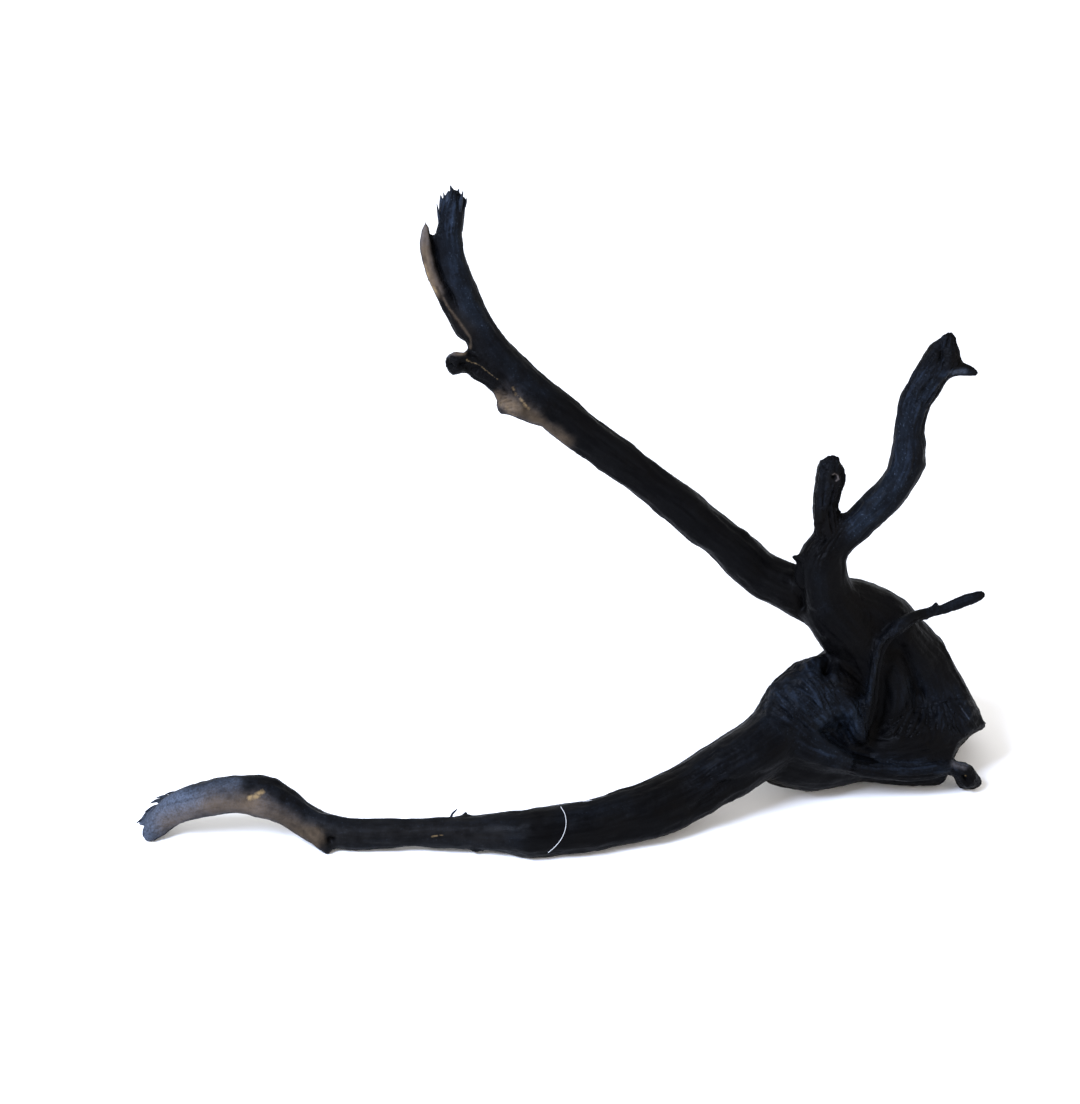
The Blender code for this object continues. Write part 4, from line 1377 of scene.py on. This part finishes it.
@dataclass
class Spikes:
    """A group of spikes made as one piece."""

    name: str
    spikes: list[Spike]
    step: float = 1.2
    sides: int = 8

    def build(self) -> bpy.types.Object:
        """All the spikes as closed shapes in one mesh, with the skin's grain, dry, rough and film attributes
        only.
        """
        points, faces, grains, count = [], [], [], 0
        for k, spike in enumerate(self.spikes):
            p, f = spike.shape(self.step, self.sides)
            points.append(p)
            faces.append(f + count)
            grains.append(p[:, [2, 0, 1]] + 40.0 * k)
            count += len(p)
        mesh = mesh_of(self.name, np.concatenate(points), np.concatenate(faces))
        layer = mesh.attributes.new("grain", "FLOAT_VECTOR", "POINT")
        layer.data.foreach_set("vector", (np.concatenate(grains) * MM).astype(np.float32).ravel())
        # The spikes get a share of the film, which also paints a bluish sheen on them.
        for name, value in (("dry", 0.25), ("rough", 0.5), ("film_and_sheen", 0.6)):
            layer = mesh.attributes.new(name, "FLOAT", "POINT")
            layer.data.foreach_set("value", np.full(count, value, np.float32))
        mesh.shade_smooth()
        return object_of(mesh)


SPLINTERS = [
    Spike([(-71, 234, 97, 3.0), (-73, 243, 96.5, 1.8), (-74.2, 250.5, 96, 0.5)], flat=0.6),
    Spike([(-69.5, 240, 100, 3.2), (-70.5, 250, 100, 2.2), (-71.5, 256.5, 100, 0.5)], flat=0.6),
    Spike([(-67, 244, 102, 3.2), (-68.5, 254, 102, 2.0), (-69.5, 258.5, 102, 0.5)], flat=0.6),
    Spike([(-65, 246, 96, 3.2), (-65.5, 256, 96, 2.2), (-66, 259.5, 96, 0.6)], flat=0.6),
    Spike([(-62, 247, 99, 3.4), (-62.6, 258, 99, 2.2), (-64.5, 263.5, 98, 0.5)], flat=0.6),
    Spike([(-60.5, 248, 102, 3.2), (-59.5, 257, 103, 2.0), (-58.5, 261, 103, 0.6)], flat=0.6),
    Spike([(-58, 247, 97, 3.0), (-56.5, 255, 97, 2.0), (-55.5, 259.5, 97, 0.6)], flat=0.6),
    Spike([(-56.5, 240, 100, 2.8), (-54.5, 249, 100, 1.5), (-52.5, 255, 100, 0.4)], flat=0.6),
    Spike([(-57, 232, 103, 2.6), (-55, 243, 103, 1.4), (-54, 250, 103, 0.4)], flat=0.6),
]
TIP_FLAKES = [
    Spike([(-276, -190, 15, 4.5), (-284, -191, 12, 3.0), (-290, -195, 9, 0.8)], Placing.HEIGHT, 0.4),
    Spike([(-270, -184, 21, 4.5), (-279, -184, 18, 2.6), (-284, -187, 16, 0.7)], Placing.HEIGHT, 0.4),
    Spike([(-270, -180, 24, 4.0), (-276, -179, 23, 2.4), (-280.5, -181, 22, 0.6)], Placing.HEIGHT, 0.4),
    Spike([(-266, -178, 27, 4.0), (-271.5, -176, 26, 2.2), (-276, -177, 25, 0.6)], Placing.HEIGHT, 0.4),
    Spike([(-260, -175, 30, 3.6), (-266, -173.5, 29, 2.0), (-269.5, -174.5, 28, 0.6)], Placing.HEIGHT, 0.4),
]
HAIR_ROOT = [
    Spike([(-64.5, -192, 22, 1.1), (-63, -188.5, 23, 0.9), (-60, -185.5, 24, 0.5)], Placing.HEIGHT),
]
LINT = [
    Spike(
        [(15, -183.5, 37, 0.2), (18, -189, 35.5, 0.2), (18.8, -195, 32, 0.2), (17.5, -202, 26.5, 0.2),
         (14.4, -208, 21.5, 0.2), (10, -213, 17, 0.2), (6, -216.4, 12.5, 0.2)],
        Placing.HEIGHT,
    ),
    Spike([(31, -179.5, 35, 0.3), (38, -179, 36, 0.3), (44, -179.3, 36, 0.3)], Placing.HEIGHT),
]


def add(tree: Tree, kind: str, links: dict | None = None, **settings: object) -> bpy.types.Node:
    """Adds one node.

    Args:
        tree: the material's nodes.
        kind: the node's type.
        links: for an input's name or number, the socket that feeds it or the value that it holds.
        settings: attributes of the node.

    Returns:
        The node.
    """
    node = tree.nodes.new(kind)
    for key, value in settings.items():
        setattr(node, key, value)
    for key, value in (links or {}).items():
        socket = node.inputs[key]
        if isinstance(value, Socket):
            tree.links.new(value, socket)
        else:
            socket.default_value = value
    return node


@dataclass(frozen=True)
class BogWood:
    """Bog oak: oak stained black in peat and worn smooth by water, then dried.

    The eye sees a near-black wood with a satin shine on its ridges, helped by a painted highlight on wrinkle
    ridges, painted glints and a painted bluish sheen where light falls; painted shade in its hollows, its
    deep holes and on the sawn face; fine fibres along the grain, a blue-grey bleach where it has dried out,
    and tan wood where the black skin is worn through.
    """

    name: str
    body: str = "#040405"
    light_streak: str = "#080809"
    # The next four colours: the dried film that also serves as a painted bluish sheen, a painted highlight
    # for wrinkle ridges, the film and sheen turned brown, and painted glints.
    film_and_sheen: str = "#10151C"
    ridge_highlight: str = "#1C2430"
    warm_film_and_sheen: str = "#171513"
    painted_glint: str = "#39424E"
    # Painted shade for hollows, creases and deep holes.
    hollow: str = "#030304"
    brown: str = "#0A0806"
    bleached: str = "#4A5464"
    bleached_low: str = "#363B44"
    bleached_warm: str = "#54483B"
    worn: str = "#776549"
    # Painted shade on the sawn face, which turns away from the light.
    sawn: str = "#030303"
    roughness: tuple[float, float] = (0.36, 0.58)
    specular: float = 0.028
    # Oak's fibres and pores are 0.2 to 0.4 mm wide. Both are drawn coarser than that, so that they show.
    fibre: float = 0.9 * MM
    pore: float = 0.6 * MM
    mottle: float = 9.0 * MM

    def build(self) -> bpy.types.Material:
        """The wood's nodes: colour from the skin's attributes and noise, gloss and relief from fibres."""
        material = bpy.data.materials.new(self.name)
        material.use_nodes = True
        tree = material.node_tree
        tree.nodes.clear()
        object_place = add(tree, "ShaderNodeTexCoord").outputs["Object"]
        grain = add(tree, "ShaderNodeAttribute", attribute_name="grain").outputs["Vector"]
        names = ("hollow", "streak", "dry", "film_and_sheen", "warm", "tan", "rough", "sawn", "deep", "meeting")
        fields = {
            name: add(tree, "ShaderNodeAttribute", attribute_name=name).outputs["Fac"] for name in names
        }
        fibres = self.noise(tree, self.stretched(tree, grain, 0.07), self.fibre, 3.0, 0.55)
        crumple = self.noise(tree, object_place, 1.8 * MM, 3.0, 0.6)
        fibres = self.faded(tree, fibres, fields["meeting"], crumple)
        bands = self.noise(tree, self.stretched(tree, grain, 0.12), 4.5 * MM, 3.0, 0.5)
        bands = self.faded(tree, bands, fields["meeting"], crumple)
        bands = self.sum(tree, bands, self.times(tree, fields["streak"], 0.16))
        pores = self.noise(tree, object_place, self.pore, 2.0, 0.5)
        mottle = self.noise(tree, object_place, self.mottle, 4.0, 0.6)
        wide = self.noise(tree, object_place, 45 * MM, 3.0, 0.5)
        speckle = self.noise(tree, object_place, 1.4 * MM, 2.0, 0.6)
        shade = self.colour(tree, fields, fibres, bands, mottle, wide, speckle)
        low, high = self.roughness
        rough = self.ranged(tree, bands, 0.3, 0.7, low, high)
        rough = self.sum(tree, rough, self.times(tree, fields["dry"], 0.18))
        rough = self.sum(tree, rough, self.times(tree, fields["sawn"], 0.15))
        rough = self.sum(tree, rough, self.times(tree, fields["tan"], 0.15))
        height = self.sum(tree, self.times(tree, fibres, 0.55), self.times(tree, bands, 0.5))
        height = self.sum(tree, height, self.times(tree, pores, 0.25))
        relief = add(tree, "ShaderNodeBump", {"Strength": 0.55, "Distance": 0.5 * MM, "Height": height})
        links = {"Base Color": shade, "Roughness": rough, "Normal": relief.outputs["Normal"]}
        links |= {"Specular IOR Level": self.specular, "IOR": 1.5}
        shader = add(tree, "ShaderNodeBsdfPrincipled", links)
        add(tree, "ShaderNodeOutputMaterial", {"Surface": shader.outputs["BSDF"]})
        return material

    @staticmethod
    def stretched(tree: Tree, grain: Socket, share: float) -> Socket:
        """The grain's coordinates pressed together along it, so that a pattern on them runs long."""
        return add(tree, "ShaderNodeMapping", {"Vector": grain, "Scale": (share, 1.0, 1.0)}).outputs[0]

    @staticmethod
    def noise(
        tree: Tree, place: Socket, size: float, detail: float, rough: float
    ) -> Socket:
        """Noise whose cells are `size` metres wide."""
        links = {"Vector": place, "Scale": 1 / size, "Detail": detail, "Roughness": rough}
        return add(tree, "ShaderNodeTexNoise", links).outputs["Fac"]

    @staticmethod
    def faded(
        tree: Tree, value: Socket, by: Socket, to: Socket
    ) -> Socket:
        """The value, drawn to another one by this share."""
        return add(tree, "ShaderNodeMix", {0: by, 2: value, 3: to}, data_type="FLOAT").outputs[0]

    @staticmethod
    def ranged(
        tree: Tree, value: Socket, low: float, high: float, to_low: float, to_high: float
    ) -> Socket:
        """The value from low..high taken to to_low..to_high, and held there."""
        numbers = {"Value": value, 1: low, 2: high, 3: to_low, 4: to_high}
        return add(tree, "ShaderNodeMapRange", numbers).outputs["Result"]

    @staticmethod
    def times(tree: Tree, value: Socket, by: object) -> Socket:
        """The value times a number or another socket."""
        return add(tree, "ShaderNodeMath", {0: value, 1: by}, operation="MULTIPLY").outputs[0]

    @staticmethod
    def sum(tree: Tree, one: Socket, two: object) -> Socket:
        """One value plus the other."""
        return add(tree, "ShaderNodeMath", {0: one, 1: two}, operation="ADD").outputs[0]

    @staticmethod
    def mixed(tree: Tree, share: object, under: object, over: object) -> Socket:
        """The colour `under` with this share of `over` laid on it."""
        node = add(tree, "ShaderNodeMix", {0: share, 6: under, 7: over}, data_type="RGBA")
        return node.outputs[2]

    def colour(
        self,
        tree: Tree,
        fields: dict[str, Socket],
        fibres: Socket,
        bands: Socket,
        mottle: Socket,
        wide: Socket,
        speckle: Socket,
    ) -> Socket:
        """The wood's colour, from the body outwards, with painted highlights, glints and bluish sheen where
        light falls, and painted shade in hollows, deep holes and on the sawn face.

        Args:
            tree: the material's nodes.
            fields: what the skin says at each point.
            fibres: fine noise along the grain.
            bands: wider noise along the grain.
            mottle: noise of about a centimetre.
            wide: noise of several centimetres.
            speckle: noise of about a millimetre.

        Returns:
            The colour's socket.
        """
        lighter = self.ranged(tree, bands, 0.4, 0.7, 0, 0.8)
        shade = self.mixed(tree, lighter, linear(self.body), linear(self.light_streak))
        shade = self.mixed(tree, self.ranged(tree, wide, 0.5, 0.75, 0, 0.55), shade, linear(self.brown))
        # Painted highlight: the tops of wrinkles and fibres are made lighter, more where the skin is rough,
        # and speckled glints with them.
        streak = self.sum(tree, fields["streak"], self.sum(tree, fibres, -0.5))
        lit = self.ranged(tree, streak, 0.12, 0.75, 0, 1)
        lit = self.times(tree, lit, self.ranged(tree, fields["rough"], 0.45, 0.95, 0.35, 1.0))
        glints = self.ranged(tree, speckle, 0.6, 0.72, 0, 0.8)
        lit = add(tree, "ShaderNodeMath", {0: lit, 1: glints}, operation="MAXIMUM").outputs[0]
        # The dried film with its painted bluish sheen, and the painted highlights and glints laid on it.
        film_and_sheen = self.times(tree, fields["film_and_sheen"], self.ranged(tree, mottle, 0.35, 0.6, 0.35, 1.0))
        cool = self.mixed(tree, lit, linear(self.film_and_sheen), linear(self.ridge_highlight))
        cool = self.mixed(tree, self.ranged(tree, speckle, 0.62, 0.72, 0, 0.55), cool, linear(self.painted_glint))
        cool = self.mixed(tree, fields["warm"], cool, linear(self.warm_film_and_sheen))
        shade = self.mixed(tree, film_and_sheen, shade, cool)
        bleach = self.sum(tree, fields["dry"], self.times(tree, self.sum(tree, mottle, -0.5), 0.9))
        bleach = self.times(tree, bleach, self.ranged(tree, fields["dry"], 0.02, 0.3, 0, 1))
        bleach = self.times(tree, bleach, self.ranged(tree, bands, 0.2, 0.6, 0.8, 1.0))
        paler = self.ranged(tree, speckle, 0.35, 0.65, 0, 1)
        pale = self.mixed(tree, paler, linear(self.bleached_low), linear(self.bleached))
        pale = self.mixed(tree, fields["warm"], pale, linear(self.bleached_warm))
        shade = self.mixed(tree, self.ranged(tree, bleach, 0.0, 1.0, 0, 1), shade, pale)
        worn = self.sum(tree, self.times(tree, fields["tan"], 1.1), self.times(tree, speckle, 0.6))
        worn = self.ranged(tree, worn, 0.55, 1.25, 0, 1)
        shade = self.mixed(tree, worn, shade, linear(self.worn))
        # Painted shade on the sawn face.
        shade = self.mixed(tree, self.times(tree, fields["sawn"], 0.6), shade, linear(self.sawn))
        # Painted shade in hollows and creases.
        hollow_shade = self.ranged(tree, fields["hollow"], 0.0, 0.8, 0, 0.7)
        shade = self.mixed(tree, hollow_shade, shade, linear(self.hollow))
        # Painted shade in the deep holes.
        return self.mixed(tree, self.times(tree, fields["deep"], 0.8), shade, linear(self.hollow))


@dataclass(frozen=True)
class Lint:
    """Aquarium filter wool: fine white polyester fibre, which the eye sees as a bright hairline."""

    name: str = "white_lint_fibre"
    colour: str = "#D9DBDC"
    roughness: float = 0.6

    def build(self) -> bpy.types.Material:
        """White fibre with faint grey stretches along it."""
        material = bpy.data.materials.new(self.name)
        material.use_nodes = True
        tree = material.node_tree
        shader = tree.nodes["Principled BSDF"]
        place = add(tree, "ShaderNodeTexCoord").outputs["Object"]
        grey = add(tree, "ShaderNodeTexNoise", {"Vector": place, "Scale": 1 / (4 * MM)}).outputs["Fac"]
        links = {0: grey, 6: linear(self.colour), 7: linear("#9A9C9E")}
        shade = add(tree, "ShaderNodeMix", links, data_type="RGBA").outputs[2]
        tree.links.new(shade, shader.inputs["Base Color"])
        shader.inputs["Roughness"].default_value = self.roughness
        return material


@dataclass
class Dressing:
    """Puts the finished pieces on the frame: each stands for its solid and rides on the one body."""

    root: Root
    slots: dict[str, str] = field(
        default_factory=lambda: {"lower_arm": "dry_bog_wood", "upper_arm": "dry_bog_wood"}
    )
    nodes: tuple[str, ...] = (
        "stump",
        "lower_arm",
        "upper_arm",
        "forked_stem",
        "knobbed_stub",
        "right_branch",
        "thin_twig",
        "side_root",
    )

    def build(self) -> None:
        """Makes every piece of the root, with its finish."""
        finishes = {name: BogWood(name).build() for name in ("bog_wood", "dry_bog_wood")}
        self.root.build()
        for node in self.nodes:
            piece = self.root.piece(node)
            slot = self.slots.get(node, "bog_wood")
            self.dress(piece, finishes[slot], slot)
            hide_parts(node)
        groups = {"arm_splinters": SPLINTERS, "tip_flakes": TIP_FLAKES, "hair_root": HAIR_ROOT}
        for name, spikes in groups.items():
            self.dress(Spikes(name, spikes).build(), finishes["dry_bog_wood"], "dry_bog_wood")
        self.dress(Spikes("lint_fibres", LINT).build(), Lint().build(), "")

    @staticmethod
    def dress(piece: bpy.types.Object, finish: bpy.types.Material, slot: str) -> None:
        """Gives the piece its finish and its body."""
        piece.data.materials.append(finish)
        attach(piece, "root")
        LOG.info("%s: %d faces", piece.name, len(piece.data.polygons))


@dataclass(frozen=True)
class Studio:
    """A plain pale floor, a cool soft light from the upper left and front, and a warm fill from the right."""

    floor_colour: str = "#FAFAFA"
    world_colour: str = "#FFFFFF"
    world_strength: float = 0.95

    def build(self) -> None:
        """Adds the floor, the lights, the world and the camera, and shows colours as they are."""
        bpy.context.scene.view_settings.view_transform = "Standard"
        self.floor()
        self.light("key", (-1.1, -1.0, 1.7), 0.8, 95.0, "#D5E2FF")
        self.light("fill", (1.5, -0.9, 0.7), 1.4, 7.0, "#FFE6CC")
        self.light("rim", (-0.2, 1.6, 1.5), 1.2, 5.0, "#F2F5FF")
        world = bpy.data.worlds.new("soft_white_room")
        bpy.context.scene.world = world
        world.use_nodes = True
        background = world.node_tree.nodes["Background"]
        background.inputs["Color"].default_value = linear(self.world_colour)
        background.inputs["Strength"].default_value = self.world_strength
        self.camera()

    def floor(self) -> None:
        """A wide flat sheet that the root stands on."""
        points = np.array([[-4, -4, 0], [4, -4, 0], [4, 8, 0], [-4, 8, 0]]) / MM
        floor = object_of(mesh_of("studio_floor", points, np.array([[0, 1, 2, 3]])))
        paper = bpy.data.materials.new("matt_white_paper")
        paper.use_nodes = True
        shader = paper.node_tree.nodes["Principled BSDF"]
        shader.inputs["Base Color"].default_value = linear(self.floor_colour)
        shader.inputs["Roughness"].default_value = 0.9
        floor.data.materials.append(paper)

    @staticmethod
    def light(name: str, place: tuple, size: float, power: float, colour: str) -> None:
        """A square soft light, turned to the root."""
        data = bpy.data.lights.new(name, "AREA")
        data.size, data.energy, data.color = size, power, linear(colour)[:3]
        lamp = bpy.data.objects.new(name, data)
        lamp.location = place
        way = Vector((0.05, 0.0, 0.15)) - Vector(place)
        lamp.rotation_euler = way.to_track_quat("-Z", "Y").to_euler()
        bpy.context.scene.collection.objects.link(lamp)

    @staticmethod
    def camera() -> None:
        """The photograph's view: 30 degrees down, through a lens that gives 0.72 mm a pixel at the middle."""
        data = bpy.data.cameras.new("view")
        data.lens, data.sensor_width = 85.0, 36.0
        data.sensor_fit = "VERTICAL"
        data.sensor_height = 36.0
        camera = bpy.data.objects.new("view", data)
        camera.location = tuple(SIGHT.eye * MM)
        camera.rotation_euler = (math.pi / 2 - SIGHT.down, 0.0, 0.0)
        bpy.context.scene.collection.objects.link(camera)
        bpy.context.scene.camera = camera


def main() -> None:
    """Builds the studio and the root, and reports the pieces."""
    logging.basicConfig(level=logging.INFO, format="%(name)s: %(message)s")
    Studio().build()
    Dressing(Root(LIMBS, MARKS)).build()


if __name__ == "__main__":
    main()
